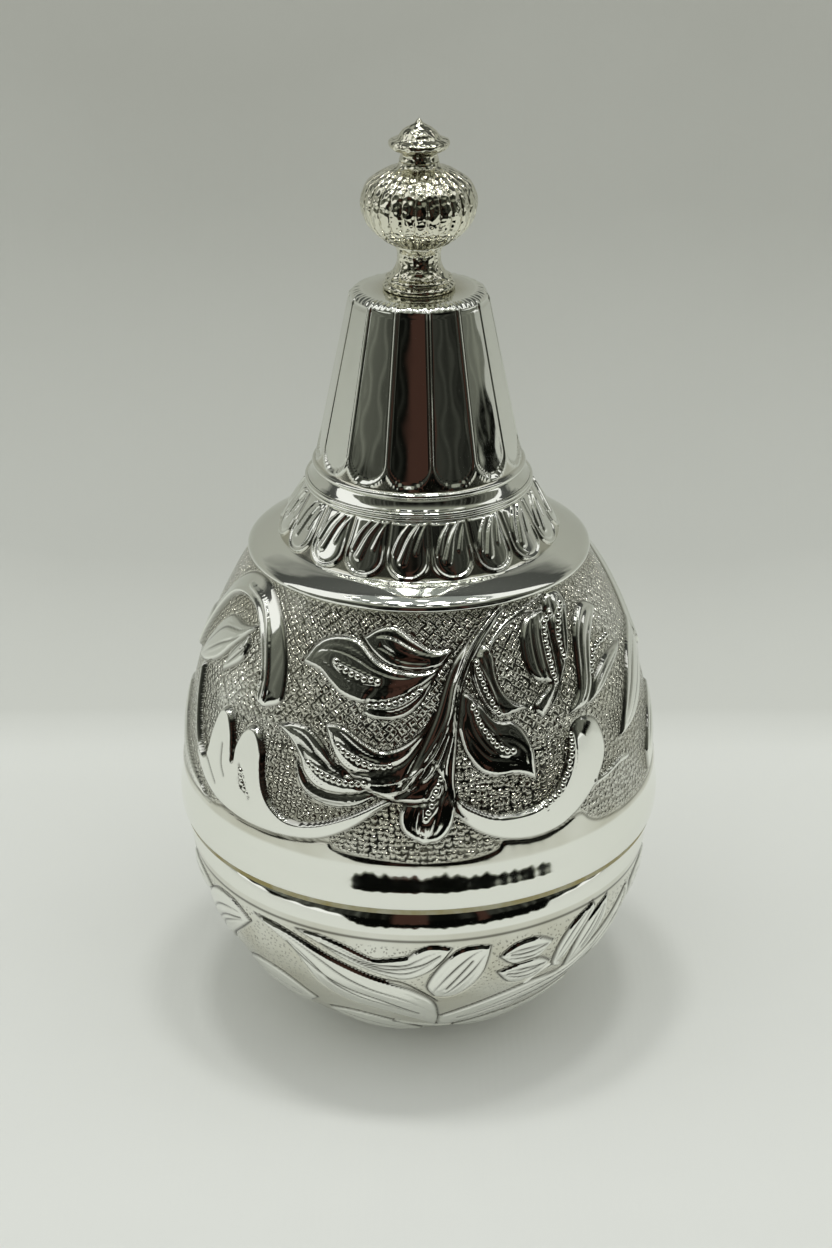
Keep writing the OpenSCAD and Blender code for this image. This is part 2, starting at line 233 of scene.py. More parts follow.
@dataclass(frozen=True)
class SilverPlate(Finish):
    """Electroplated silver over brass, burnished by hand.

    The eye gets a near-white mirror, a little warm, with fine wipe marks, slow orange-peel
    from polishing and a yellow-grey film left in the hollows that the cloth doesn't reach.
    Real wipe marks are as fine as hair. These are as coarse as they need to be to show.

    Fields that end in _mm are sizes on the surface, and all heights are in millimetres too.
    matting_mm and dent_mm are depths, and 0 leaves the punched ground or the dents out.
    """

    plate: str = "#F2F3EC"
    film: str = "#B9B5A0"
    # tarnish also colours the painted shade in the chased lines.
    tarnish: str = "#4A4739"
    roughness: float = 0.05
    film_roughness: float = 0.22
    film_mm: float = 14.0
    wipe_mm: float = 0.9
    wipe_height: float = 0.0012
    peel_mm: float = 3.5
    peel_height: float = 0.010
    matting_mm: float = 0.0
    punch_mm: float = 1.0
    pitted: bool = False
    stray_mm: float = 0.9
    drift_mm: float = 1.5
    square_turn: float = 43.0
    squares_from: float = 64.0
    squares_full: float = 67.0
    grime: float = 0.6
    crease_gain: float = 0.8
    dent_mm: float = 0.0
    dent_pitch_mm: float = 0.8

    def shade(self, tree: Tree) -> Node:
        """Lay the nodes of polished plate with film in its hollows.

        Args:
            tree: The material's empty tree.

        Returns:
            The shader.
        """
        place = add_node(tree, "ShaderNodeTexCoord").outputs["Object"]
        inputs = {"Vector": place, "Scale": 1 / (self.wipe_mm * MM), "Detail": 4.0, "Roughness": 0.6}
        wipes = add_node(tree, "ShaderNodeTexNoise", inputs)
        inputs = {"Vector": place, "Scale": 1 / (self.film_mm * MM), "Detail": 3.0, "Roughness": 0.55}
        blotch = add_node(tree, "ShaderNodeTexNoise", inputs)
        recess = add_node(tree, "ShaderNodeAttribute", attribute_name="recess").outputs["Fac"]
        dirt = add_node(tree, "ShaderNodeMath", {0: recess, 1: blotch}, operation="MULTIPLY")
        dirt = add_node(tree, "ShaderNodeMapRange", {"Value": dirt, "From Min": 0.1, "From Max": 0.75})
        inputs = {0: dirt, 6: linear(self.plate), 7: linear(self.film)}
        colour = add_node(tree, "ShaderNodeMix", inputs, data_type="RGBA").outputs[2]
        smooth, dull = self.roughness * 0.7, self.roughness * 1.9
        inputs = {"Value": wipes, "From Min": 0.3, "From Max": 0.75, "To Min": smooth, "To Max": dull}
        polish = add_node(tree, "ShaderNodeMapRange", inputs)
        rough = add_node(tree, "ShaderNodeMix", {0: dirt, 2: polish, 3: self.film_roughness})
        normal = self._polish(tree, place, wipes)
        if self.matting_mm:
            grime, normal = self._punch(tree, place, normal)
            # This darkens towards tarnish in the punch marks and with painted shade along the chased lines.
            inputs = {0: grime, 6: colour, 7: linear(self.tarnish)}
            colour = add_node(tree, "ShaderNodeMix", inputs, data_type="RGBA").outputs[2]
        inputs = {"Base Color": colour, "Metallic": 1.0, "Roughness": rough, "Normal": normal}
        return add_node(tree, "ShaderNodeBsdfPrincipled", inputs)

    def _polish(self, tree: Tree, place: Socket, wipes: Node) -> Node:
        """Chain the fine bumps: polishing orange-peel, wipe marks and dents.

        Args:
            tree: The material's tree.
            place: Object coordinates.
            wipes: The noise that the wipe marks follow.

        Returns:
            The last bump.
        """
        inputs = {"Vector": place, "Scale": 1 / (self.peel_mm * MM), "Detail": 1.0}
        peel = add_node(tree, "ShaderNodeTexNoise", inputs)
        inputs = {"Height": peel, "Strength": 1.0, "Distance": self.peel_height * MM}
        normal = add_node(tree, "ShaderNodeBump", inputs)
        inputs = {"Height": wipes, "Strength": 0.6, "Distance": self.wipe_height * MM, "Normal": normal}
        normal = add_node(tree, "ShaderNodeBump", inputs)
        if self.dent_mm:
            inputs = {"Vector": place, "Scale": 1 / (self.dent_pitch_mm * MM), "Smoothness": 0.3}
            dents = add_node(tree, "ShaderNodeTexVoronoi", inputs, feature="SMOOTH_F1")
            inputs = {"Height": dents, "Strength": 1.0, "Distance": self.dent_mm * MM, "Normal": normal}
            normal = add_node(tree, "ShaderNodeBump", inputs)
        return normal

    def _punch(self, tree: Tree, place: Socket, normal: Node) -> tuple[Node, Node]:
        """Punch the ground: round marks below, small cross-hatched squares near the top.

        Args:
            tree: The material's tree.
            place: Object coordinates.
            normal: The bump so far.

        Returns:
            How dark each point is, from tarnish and painted shade, 0 to 1, and the last bump.
        """
        sheet = add_node(tree, "ShaderNodeAttribute", attribute_name="sheet").outputs["Vector"]
        matted = add_node(tree, "ShaderNodeAttribute", attribute_name="matting").outputs["Fac"]
        crease = add_node(tree, "ShaderNodeAttribute", attribute_name="crease").outputs["Fac"]
        inputs = {"Vector": sheet, "Scale": 1 / self.drift_mm, "Detail": 2.0}
        drift = add_node(tree, "ShaderNodeTexNoise", inputs).outputs["Color"]
        inputs = {0: drift, 1: (self.stray_mm, self.stray_mm, 0.0), 2: sheet}
        sheet = add_node(tree, "ShaderNodeVectorMath", inputs, operation="MULTIPLY_ADD")
        uneven = 0.9 if self.pitted else 0.5
        inputs = {"Vector": sheet, "Scale": 1.18 / self.punch_mm, "Randomness": uneven}
        rounds = add_node(tree, "ShaderNodeTexVoronoi", inputs, voronoi_dimensions="2D")
        mark = PIT_MARK if self.pitted else RING_MARK
        rounds = add_node(tree, "ShaderNodeValToRGB", {"Fac": rounds}, mark)
        inputs = {"Vector": sheet, "Rotation": (0.0, 0.0, math.radians(self.square_turn))}
        turned = add_node(tree, "ShaderNodeMapping", inputs)
        inputs = {"Vector": turned, "Scale": 1 / self.punch_mm, "Randomness": 0.3}
        squares = add_node(
            tree, "ShaderNodeTexVoronoi", inputs, voronoi_dimensions="2D", distance="CHEBYCHEV"
        )
        squares = add_node(tree, "ShaderNodeValToRGB", {"Fac": squares}, SQUARE_MARK)
        height = add_node(tree, "ShaderNodeSeparateXYZ", {0: place}).outputs["Z"]
        inputs = {"Value": height, "From Min": self.squares_from * MM, "From Max": self.squares_full * MM}
        upper = add_node(tree, "ShaderNodeMapRange", inputs)
        inputs = {0: upper, 6: rounds, 7: squares}
        marks = add_node(tree, "ShaderNodeMix", inputs, data_type="RGBA").outputs[2]
        raised = add_node(tree, "ShaderNodeMath", {0: marks, 1: matted}, operation="MULTIPLY")
        dirt = add_node(tree, "ShaderNodeMath", {0: matted, 1: raised}, operation="SUBTRACT")
        dirt = add_node(tree, "ShaderNodeMath", {0: dirt, 1: 2.6}, operation="POWER")
        dirt = add_node(tree, "ShaderNodeMath", {0: dirt, 1: self.grime}, operation="MULTIPLY")
        # The painted shade of the chased lines joins the punch marks' tarnish here.
        inputs = {0: crease, 1: self.crease_gain}
        crease = add_node(tree, "ShaderNodeMath", inputs, operation="MULTIPLY", use_clamp=True)
        dirt = add_node(tree, "ShaderNodeMath", {0: dirt, 1: crease}, operation="MAXIMUM")
        inputs = {"Height": raised, "Strength": 1.0, "Distance": self.matting_mm * MM, "Normal": normal}
        return dirt, add_node(tree, "ShaderNodeBump", inputs)


@dataclass(frozen=True)
class WornBrass(Finish):
    """Yellow brass with its plate rubbed thin.

    The eye gets a dull olive-gold satin with greyer patches where some plate is left.
    """

    metal: str = "#9A8F62"
    plate: str = "#B9B7A4"
    roughness: float = 0.28
    turning_mm: float = 0.35
    turning_height: float = 0.004
    patch_mm: float = 6.0

    def shade(self, tree: Tree) -> Node:
        """Lay the nodes of turned metal with patches.

        Args:
            tree: The material's empty tree.

        Returns:
            The shader.
        """
        place = add_node(tree, "ShaderNodeTexCoord").outputs["Object"]
        inputs = {"Vector": place, "Scale": 1 / (self.patch_mm * MM), "Detail": 4.0, "Roughness": 0.6}
        patches = add_node(tree, "ShaderNodeTexNoise", inputs)
        colours = {0.42: self.metal, 0.68: self.plate}
        colour = add_node(tree, "ShaderNodeValToRGB", {"Fac": patches}, colours)
        inputs = {"Vector": place, "Scale": 1 / (self.turning_mm * MM) / RIDGES, "Distortion": 0.6}
        marks = add_node(tree, "ShaderNodeTexWave", inputs, wave_type="RINGS", rings_direction="Z")
        inputs = {"Height": marks.outputs["Fac"], "Strength": 0.5, "Distance": self.turning_height * MM}
        bump = add_node(tree, "ShaderNodeBump", inputs)
        satin, dull = self.roughness, self.roughness * 1.5
        inputs = {"Value": patches, "From Min": 0.3, "From Max": 0.7, "To Min": satin, "To Max": dull}
        rough = add_node(tree, "ShaderNodeMapRange", inputs)
        inputs = {"Base Color": colour, "Metallic": 1.0, "Roughness": rough, "Normal": bump}
        return add_node(tree, "ShaderNodeBsdfPrincipled", inputs)


@dataclass(frozen=True)
class Cloth(Finish):
    """Plain cotton sheet under and behind the box, clear from behind.

    The eye gets a pale matt grey with a faint weave and soft broad creases. Real threads are
    about a quarter of a millimetre wide. These are as coarse as they need to be to show. Painted
    shade darkens it up the wall over the height tall, in metres, and only reflections see the
    painted dark top.
    """

    flat_colour: str = "#DDDFDA"
    rise_painted_shade: str = "#C8CAC4"
    fold_painted_shade: str = "#B5B7B1"
    far_painted_shade: str = "#A4A59E"
    top_painted_shade: str = "#3C3E3B"
    thread_mm: float = 0.7
    thread_height: float = 0.05
    creases_per_metre: float = 9.0
    crease_height: float = 6.0
    tall: float = 0.7

    def shade(self, tree: Tree) -> Node:
        """Lay the nodes of woven cloth.

        Args:
            tree: The material's empty tree.

        Returns:
            The shader.
        """
        place = add_node(tree, "ShaderNodeTexCoord").outputs["Object"]
        threads = 1 / (self.thread_mm * MM) / RIDGES
        inputs = {"Vector": place, "Scale": threads, "Distortion": 1.5, "Detail": 1.0}
        weave = add_node(tree, "ShaderNodeTexWave", inputs).outputs["Fac"]
        inputs = {"Vector": place, "Scale": self.creases_per_metre, "Detail": 3.0, "Roughness": 0.5}
        creases = add_node(tree, "ShaderNodeTexNoise", inputs)
        inputs = {"Height": weave, "Strength": 0.12, "Distance": self.thread_height * MM}
        bump = add_node(tree, "ShaderNodeBump", inputs)
        inputs = {"Height": creases, "Strength": 0.35, "Distance": self.crease_height * MM, "Normal": bump}
        bump = add_node(tree, "ShaderNodeBump", inputs)
        height = add_node(tree, "ShaderNodeSeparateXYZ", {0: place}).outputs["Z"]
        uneven = add_node(tree, "ShaderNodeMath", {0: creases, 1: 0.8, 2: 0.6}, operation="MULTIPLY_ADD")
        height = add_node(tree, "ShaderNodeMath", {0: height, 1: uneven}, operation="MULTIPLY")
        far = add_node(tree, "ShaderNodeMapRange", {"Value": height, "From Max": self.tall})
        # The camera sees no further up the painted shade than the far shade. Reflections see up to the
        # painted dark top.
        seen = add_node(tree, "ShaderNodeLightPath").outputs["Is Camera Ray"]
        limit = add_node(tree, "ShaderNodeMath", {0: seen, 1: -0.7, 2: 1.0}, operation="MULTIPLY_ADD")
        far = add_node(tree, "ShaderNodeMath", {0: far, 1: limit}, operation="MINIMUM")
        # Painted shade: the flat floor, then darker greys with height up the wall.
        stops = {0.0: self.flat_colour, 0.004: self.rise_painted_shade, 0.032: self.fold_painted_shade}
        stops |= {0.2: self.far_painted_shade, 0.34: self.far_painted_shade, 0.55: self.top_painted_shade}
        tone = add_node(tree, "ShaderNodeValToRGB", {"Fac": far}, stops)
        inputs = {"Base Color": tone, "Roughness": 0.9, "Specular IOR Level": 0.2, "Normal": bump}
        cotton = add_node(tree, "ShaderNodeBsdfPrincipled", inputs)
        behind = add_node(tree, "ShaderNodeNewGeometry").outputs["Backfacing"]
        clear = add_node(tree, "ShaderNodeBsdfTransparent")
        return add_node(tree, "ShaderNodeMixShader", {0: behind, 1: cotton, 2: clear})


@dataclass(frozen=True)
class PaintedRoomReflection(Finish):
    """Painted reflection of an unlit room with someone in a brown coat, on a card that glows."""

    dark: str = "#070806"
    pale: str = "#E8EDDA"
    brown: str = "#402C25"

    def shade(self, tree: Tree) -> Node:
        """Lay the nodes that show the card's two attributes.

        Args:
            tree: The material's empty tree.

        Returns:
            The shader.
        """
        tone = add_node(tree, "ShaderNodeAttribute", attribute_name="tone").outputs["Fac"]
        coat = add_node(tree, "ShaderNodeAttribute", attribute_name="coat").outputs["Fac"]
        grey = add_node(tree, "ShaderNodeValToRGB", {"Fac": tone}, {0.0: self.dark, 1.0: self.pale})
        inputs = {0: coat, 6: grey, 7: linear(self.brown)}
        colour = add_node(tree, "ShaderNodeMix", inputs, data_type="RGBA").outputs[2]
        # The card glows with this painted reflection.
        return add_node(tree, "ShaderNodeEmission", {"Color": colour, "Strength": 1.0})


@dataclass(frozen=True)
class PaintedCeilingReflection(Finish):
    """Painted reflection of a grey ceiling, darker towards the front, with painted highlights of a few small
    lamps.
    """

    glint_spots_per_metre: float = 4.5
    # lamp_power is the glow of the painted highlight spots, which light nothing.
    lamp_power: float = 5.0

    def shade(self, tree: Tree) -> Node:
        """Lay the nodes of a clouded panel with spots of light.

        Args:
            tree: The material's empty tree.

        Returns:
            The shader.
        """
        place = add_node(tree, "ShaderNodeTexCoord").outputs["Object"]
        depth = add_node(tree, "ShaderNodeSeparateXYZ", {0: place}).outputs["Y"]
        inputs = {"Vector": place, "Scale": 9.0, "Detail": 3.0, "Roughness": 0.6}
        cloud = add_node(tree, "ShaderNodeTexNoise", inputs)
        depth = add_node(tree, "ShaderNodeMath", {0: cloud, 1: 0.5, 2: depth}, operation="MULTIPLY_ADD")
        shade = add_node(tree, "ShaderNodeMapRange", {"Value": depth, "From Min": -0.25, "From Max": 0.25})
        greys = {0.0: "#2B2E2C", 0.3: "#4A4F4C", 0.45: "#9AA09C", 0.6: "#8E938F"}
        grey = add_node(tree, "ShaderNodeValToRGB", {"Fac": shade}, greys)
        inputs = {"Vector": place, "Scale": self.glint_spots_per_metre, "Randomness": 0.7}
        spots = add_node(tree, "ShaderNodeTexVoronoi", inputs, voronoi_dimensions="2D")
        spots = add_node(tree, "ShaderNodeValToRGB", {"Fac": spots}, {0.13: 1.0, 0.17: 0.0})
        inputs = {0: spots, 6: grey, 7: (1.0, 1.0, 0.96, 1.0)}
        colour = add_node(tree, "ShaderNodeMix", inputs, data_type="RGBA").outputs[2]
        inputs = {0: spots, 1: self.lamp_power, 2: 1.0}
        power = add_node(tree, "ShaderNodeMath", inputs, operation="MULTIPLY_ADD")
        return add_node(tree, "ShaderNodeEmission", {"Color": colour, "Strength": power})


# ---------------------------------------------------------------- turned meshes


@dataclass
class Turning:
    """A closed profile swung about the Z axis, with its surface lifted by a height map.

    Attributes:
        profile: Radius and height of each point, millimetres, up the outside and then down
            the inside.
        start: Angle of the first column from the front, towards +X, in degrees.
        sweep: Angle that the columns span, in degrees.
        columns: Number of columns that the sweep is cut into.
    """

    profile: np.ndarray
    start: float
    sweep: float
    columns: int
    angles: np.ndarray = field(init=False)
    points: np.ndarray = field(init=False)
    normals: np.ndarray = field(init=False)

    def __post_init__(self) -> None:
        """Lay out the columns' angles."""
        self.angles = np.radians(self.start + self.sweep * np.arange(self.columns + 1) / self.columns)

    @property
    def closed(self) -> bool:
        """Whether the sweep is a whole turn."""
        return abs(self.sweep - 360) < 1e-6

    def slopes(self) -> np.ndarray:
        """Find which way the profile faces.

        Returns:
            Outward direction at each of its points.
        """
        ahead = np.roll(self.profile, -1, 0) - self.profile
        ahead /= np.maximum(np.linalg.norm(ahead, axis=1, keepdims=True), 1e-9)
        along = ahead + np.roll(ahead, 1, 0)
        along /= np.maximum(np.linalg.norm(along, axis=1, keepdims=True), 1e-9)
        return np.stack([along[:, 1], -along[:, 0]], 1)

    def swing(self, lift: np.ndarray) -> None:
        """Place every vertex and find its normal.

        Args:
            lift: Height over the profile at each column and point, millimetres.
        """
        out = self.slopes()
        radius = self.profile[None, :, 0] + lift * out[None, :, 0]
        height = self.profile[None, :, 1] + lift * out[None, :, 1]
        sin, cos = np.sin(self.angles)[:, None], np.cos(self.angles)[:, None]
        self.points = np.stack([radius * sin, -radius * cos, height], 2)
        across = self.points[1:] - self.points[:-1]
        up = np.roll(self.points, -1, 1) - self.points
        face = np.cross(across, up[:-1])
        face = face + np.cross(np.roll(across, -1, 1), up[1:])
        corner = face + np.roll(face, 1, 1)
        vertex = np.zeros_like(self.points)
        vertex[:-1] += corner
        vertex[1:] += corner
        if self.closed:
            vertex[0] += corner[-1]
            vertex[-1] = vertex[0]
        self.normals = vertex / np.maximum(np.linalg.norm(vertex, axis=2, keepdims=True), 1e-12)

    def part(
        self,
        name: str,
        first: int,
        last: int,
        attributes: dict[str, np.ndarray] | None = None,
        ends: bool = True,
    ) -> bpy.types.Object:
        """Make an object of some of the columns.

        Args:
            name: The object's name.
            first: First column.
            last: Last column, which is the first again for a whole turn.
            attributes: Values at each column and point, by name.
            ends: Whether the two cut ends get a face.

        Returns:
            The new object.
        """
        whole = self.closed and last - first == self.columns
        columns = np.arange(first, last + (0 if whole else 1))
        index = np.arange(len(columns) * len(self.profile)).reshape(len(columns), -1)
        poles = np.flatnonzero(self.profile[:, 0] < 1e-6)
        index[:, poles] = index[0, poles]
        faces = self._faces(index, whole)
        smooth = len(faces)
        if ends and not whole:
            faces += [index[0].tolist(), index[-1][::-1].tolist()]
        used, packed = np.unique(index, return_inverse=True)
        renumber = np.zeros(index.size, int)
        renumber[index.ravel()] = packed.ravel()
        faces = [renumber[face].tolist() for face in faces]
        mesh = bpy.data.meshes.new(name)
        mesh.from_pydata((self.points[columns].reshape(-1, 3)[used] * MM).tolist(), [], faces)
        mesh.polygons.foreach_set("use_smooth", [True] * len(faces))
        loops = self.normals[columns].reshape(-1, 3)[used][np.concatenate(faces[:smooth])]
        for end, angle, side in zip(faces[smooth:], self.angles[[first, last]], (-1, 1)):
            facing = np.array([math.cos(angle), math.sin(angle), 0.0]) * side
            loops = np.vstack([loops, np.tile(facing, (len(end), 1))])
        for key, values in (attributes or {}).items():
            vector = values.ndim == 3
            layer = mesh.attributes.new(key, "FLOAT_VECTOR" if vector else "FLOAT", "POINT")
            flat = values[columns].reshape(-1, 3 if vector else 1)[used]
            layer.data.foreach_set("vector" if vector else "value", flat.astype(np.float32).ravel())
        mesh.update()
        mesh.normals_split_custom_set(loops.tolist())
        return place_mesh(name, mesh)

    @staticmethod
    def _faces(index: np.ndarray, whole: bool) -> list[list[int]]:
        """Join the columns with faces: four-sided ones, and triangles at a pole.

        Args:
            index: Number of the vertex at each column and profile point. A point on the axis
                has the same number in every column.
            whole: Whether the last column is joined to the first.

        Returns:
            The faces.
        """
        here = index if whole else index[:-1]
        there = np.roll(index, -1, 0) if whole else index[1:]
        poles = np.flatnonzero(index[0] == index[-1])
        faces: list[list[int]] = []
        for j in range(index.shape[1]):
            k = (j + 1) % index.shape[1]
            if j in poles and k in poles:
                continue
            if j in poles:
                corners = [here[:, j], there[:, k], here[:, k]]
            elif k in poles:
                corners = [here[:, j], there[:, j], here[:, k]]
            else:
                corners = [here[:, j], there[:, j], there[:, k], here[:, k]]
            faces.extend(np.stack(corners, 1).tolist())
        return faces


def place_mesh(name: str, mesh: bpy.types.Mesh) -> bpy.types.Object:
    """Make an object of a mesh and put it in the scene.

    Args:
        name: The object's name.
        mesh: The mesh.

    Returns:
        The new object.
    """
    piece = bpy.data.objects.new(name, mesh)
    bpy.context.scene.collection.objects.link(piece)
    return piece


def finish_piece(
    piece: bpy.types.Object,
    body: Body,
    material: bpy.types.Material,
    replaced: tuple[str, ...] = (),
) -> None:
    """Dress a finished piece and hand it to the frame.

    Args:
        piece: The piece, in its place.
        body: The rigid body that it moves with.
        material: Its finish.
        replaced: The CAD nodes that it stands for.
    """
    piece.data.materials.clear()
    piece.data.materials.append(material)
    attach(piece, body.value)
    if replaced:
        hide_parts(*replaced)
    LOG.info("%s: %d faces on %s", piece.name, len(piece.data.polygons), body.value)


# ---------------------------------------------------------------- Geometry Nodes


def bake_nodes(source: bpy.types.Object, tree: Tree, values: dict, name: str) -> bpy.types.Object:
    """Run a Geometry Nodes tree on an object and keep the result as a plain mesh.

    Args:
        source: The object that feeds the tree, removed afterwards.
        tree: The node group.
        values: The group's inputs, by name.
        name: Name of the new object.

    Returns:
        The new object, with no modifier.
    """
    modifier = source.modifiers.new("build", "NODES")
    modifier.node_group = tree
    for item in tree.interface.items_tree:
        if item.item_type == "SOCKET" and item.in_out == "INPUT" and item.name in values:
            modifier[item.identifier] = values[item.name]
    depsgraph = bpy.context.evaluated_depsgraph_get()
    mesh = bpy.data.meshes.new_from_object(source.evaluated_get(depsgraph), depsgraph=depsgraph)
    mesh.name = name
    source.modifiers.remove(modifier)
    old = source.data
    bpy.data.objects.remove(source)
    bpy.data.meshes.remove(old)
    return place_mesh(name, mesh)


def open_tree(name: str, inputs: dict[str, float | int]) -> tuple[Tree, bpy.types.NodeOutputs]:
    """Start a Geometry Nodes group that takes a geometry, some sizes and a finish.

    Args:
        name: The group's name.
        inputs: Default of each size, by name.

    Returns:
        The tree and its inputs, by name.
    """
    tree = bpy.data.node_groups.new(name, "GeometryNodeTree")
    tree.interface.new_socket("Geometry", in_out="INPUT", socket_type="NodeSocketGeometry")
    for label, default in inputs.items():
        kind = "NodeSocketInt" if isinstance(default, int) else "NodeSocketFloat"
        tree.interface.new_socket(label, in_out="INPUT", socket_type=kind).default_value = default
    tree.interface.new_socket("Finish", in_out="INPUT", socket_type="NodeSocketMaterial")
    tree.interface.new_socket("Geometry", in_out="OUTPUT", socket_type="NodeSocketGeometry")
    return tree, add_node(tree, "NodeGroupInput").outputs


def close_tree(tree: Tree, copies: Node, finish: Socket, weld: float = 0.0) -> Tree:
    """End a tree: make its copies real, weld them, smooth them and give them their finish.

    Args:
        tree: The tree.
        copies: The node that gives the copies.
        finish: Their material.
        weld: Points closer than this are joined, metres. 0 joins none.

    Returns:
        The same tree.
    """
    real = add_node(tree, "GeometryNodeRealizeInstances", {"Geometry": copies})
    if weld:
        real = add_node(tree, "GeometryNodeMergeByDistance", {"Geometry": real, "Distance": weld})
    smooth = add_node(tree, "GeometryNodeSetShadeSmooth", {"Geometry": real, "Shade Smooth": True})
    dressed = add_node(tree, "GeometryNodeSetMaterial", {"Geometry": smooth, "Material": finish})
    add_node(tree, "NodeGroupOutput", {0: dressed})
    return tree


def round_the_axis() -> Tree:
    """Build the tree that repeats one gore round the Z axis and welds the copies.

    Returns:
        A group with inputs Count, First turn and Finish.
    """
    tree, given = open_tree("Round the axis", {"Count": 12, "First turn": 0.0})
    inputs = {"Count": given["Count"], "Offset": (0.0, 0.0, 0.0)}
    line = add_node(tree, "GeometryNodeMeshLine", inputs, mode="OFFSET")
    step = add_node(tree, "ShaderNodeMath", {0: 2 * math.pi, 1: given["Count"]}, operation="DIVIDE")
    inputs = {0: add_node(tree, "GeometryNodeInputIndex"), 1: step, 2: given["First turn"]}
    turn = add_node(tree, "ShaderNodeMath", inputs, operation="MULTIPLY_ADD")
    spin = add_node(tree, "ShaderNodeCombineXYZ", {"Z": turn})
    inputs = {"Points": line, "Instance": given["Geometry"], "Rotation": spin}
    copies = add_node(tree, "GeometryNodeInstanceOnPoints", inputs)
    return close_tree(tree, copies, given["Finish"], weld=2e-6)


def beads_on_veins() -> Tree:
    """Build the tree that sets a row of small flattened beads along every path.

    Returns:
        A group with inputs Pitch, Bead radius, Squash and Finish.
    """
    sizes = {"Pitch": 0.9 * MM, "Bead radius": 0.4 * MM, "Squash": 0.7}
    tree, given = open_tree("Beads on veins", sizes)
    curve = add_node(tree, "GeometryNodeMeshToCurve", {"Mesh": given["Geometry"]})
    inputs = {"Curve": curve, "Length": given["Pitch"]}
    points = add_node(tree, "GeometryNodeCurveToPoints", inputs, mode="LENGTH")
    inputs = {"Segments": 10, "Rings": 6, "Radius": given["Bead radius"]}
    bead = add_node(tree, "GeometryNodeMeshUVSphere", inputs)
    outward = add_node(
        tree, "GeometryNodeInputNamedAttribute", {"Name": "outward"}, data_type="FLOAT_VECTOR"
    )
    turn = add_node(tree, "FunctionNodeAlignRotationToVector", {"Vector": outward}, axis="Z")
    size = add_node(tree, "ShaderNodeCombineXYZ", {"X": 1.0, "Y": 1.0, "Z": given["Squash"]})
    inputs = {"Points": points, "Instance": bead, "Rotation": turn, "Scale": size}
    copies = add_node(tree, "GeometryNodeInstanceOnPoints", inputs)
    return close_tree(tree, copies, given["Finish"])


def stacked_wires() -> Tree:
    """Build the tree that sweeps a round wire along a circle and stacks copies of it.

    Returns:
        A group with inputs Ring radius, Wire radius, Lowest, Wires and Finish.
    """
    sizes = {"Ring radius": 17 * MM, "Wire radius": 0.3 * MM, "Lowest": 90 * MM, "Wires": 2}
    tree, given = open_tree("Stacked wires", sizes)
    inputs = {"Resolution": 160, "Radius": given["Ring radius"]}
    path = add_node(tree, "GeometryNodeCurvePrimitiveCircle", inputs)
    inputs = {"Resolution": 14, "Radius": given["Wire radius"]}
    section = add_node(tree, "GeometryNodeCurvePrimitiveCircle", inputs)
    sweep = add_node(tree, "GeometryNodeCurveToMesh", {"Curve": path, "Profile Curve": section})
    pitch = add_node(tree, "ShaderNodeMath", {0: given["Wire radius"], 1: 2.02}, operation="MULTIPLY")
    start = add_node(tree, "ShaderNodeCombineXYZ", {"Z": given["Lowest"]})
    offset = add_node(tree, "ShaderNodeCombineXYZ", {"Z": pitch})
    inputs = {"Count": given["Wires"], "Start Location": start, "Offset": offset}
    line = add_node(tree, "GeometryNodeMeshLine", inputs, mode="OFFSET")
    copies = add_node(tree, "GeometryNodeInstanceOnPoints", {"Points": line, "Instance": sweep})
    return close_tree(tree, copies, given["Finish"])


# ---------------------------------------------------------------- chased relief


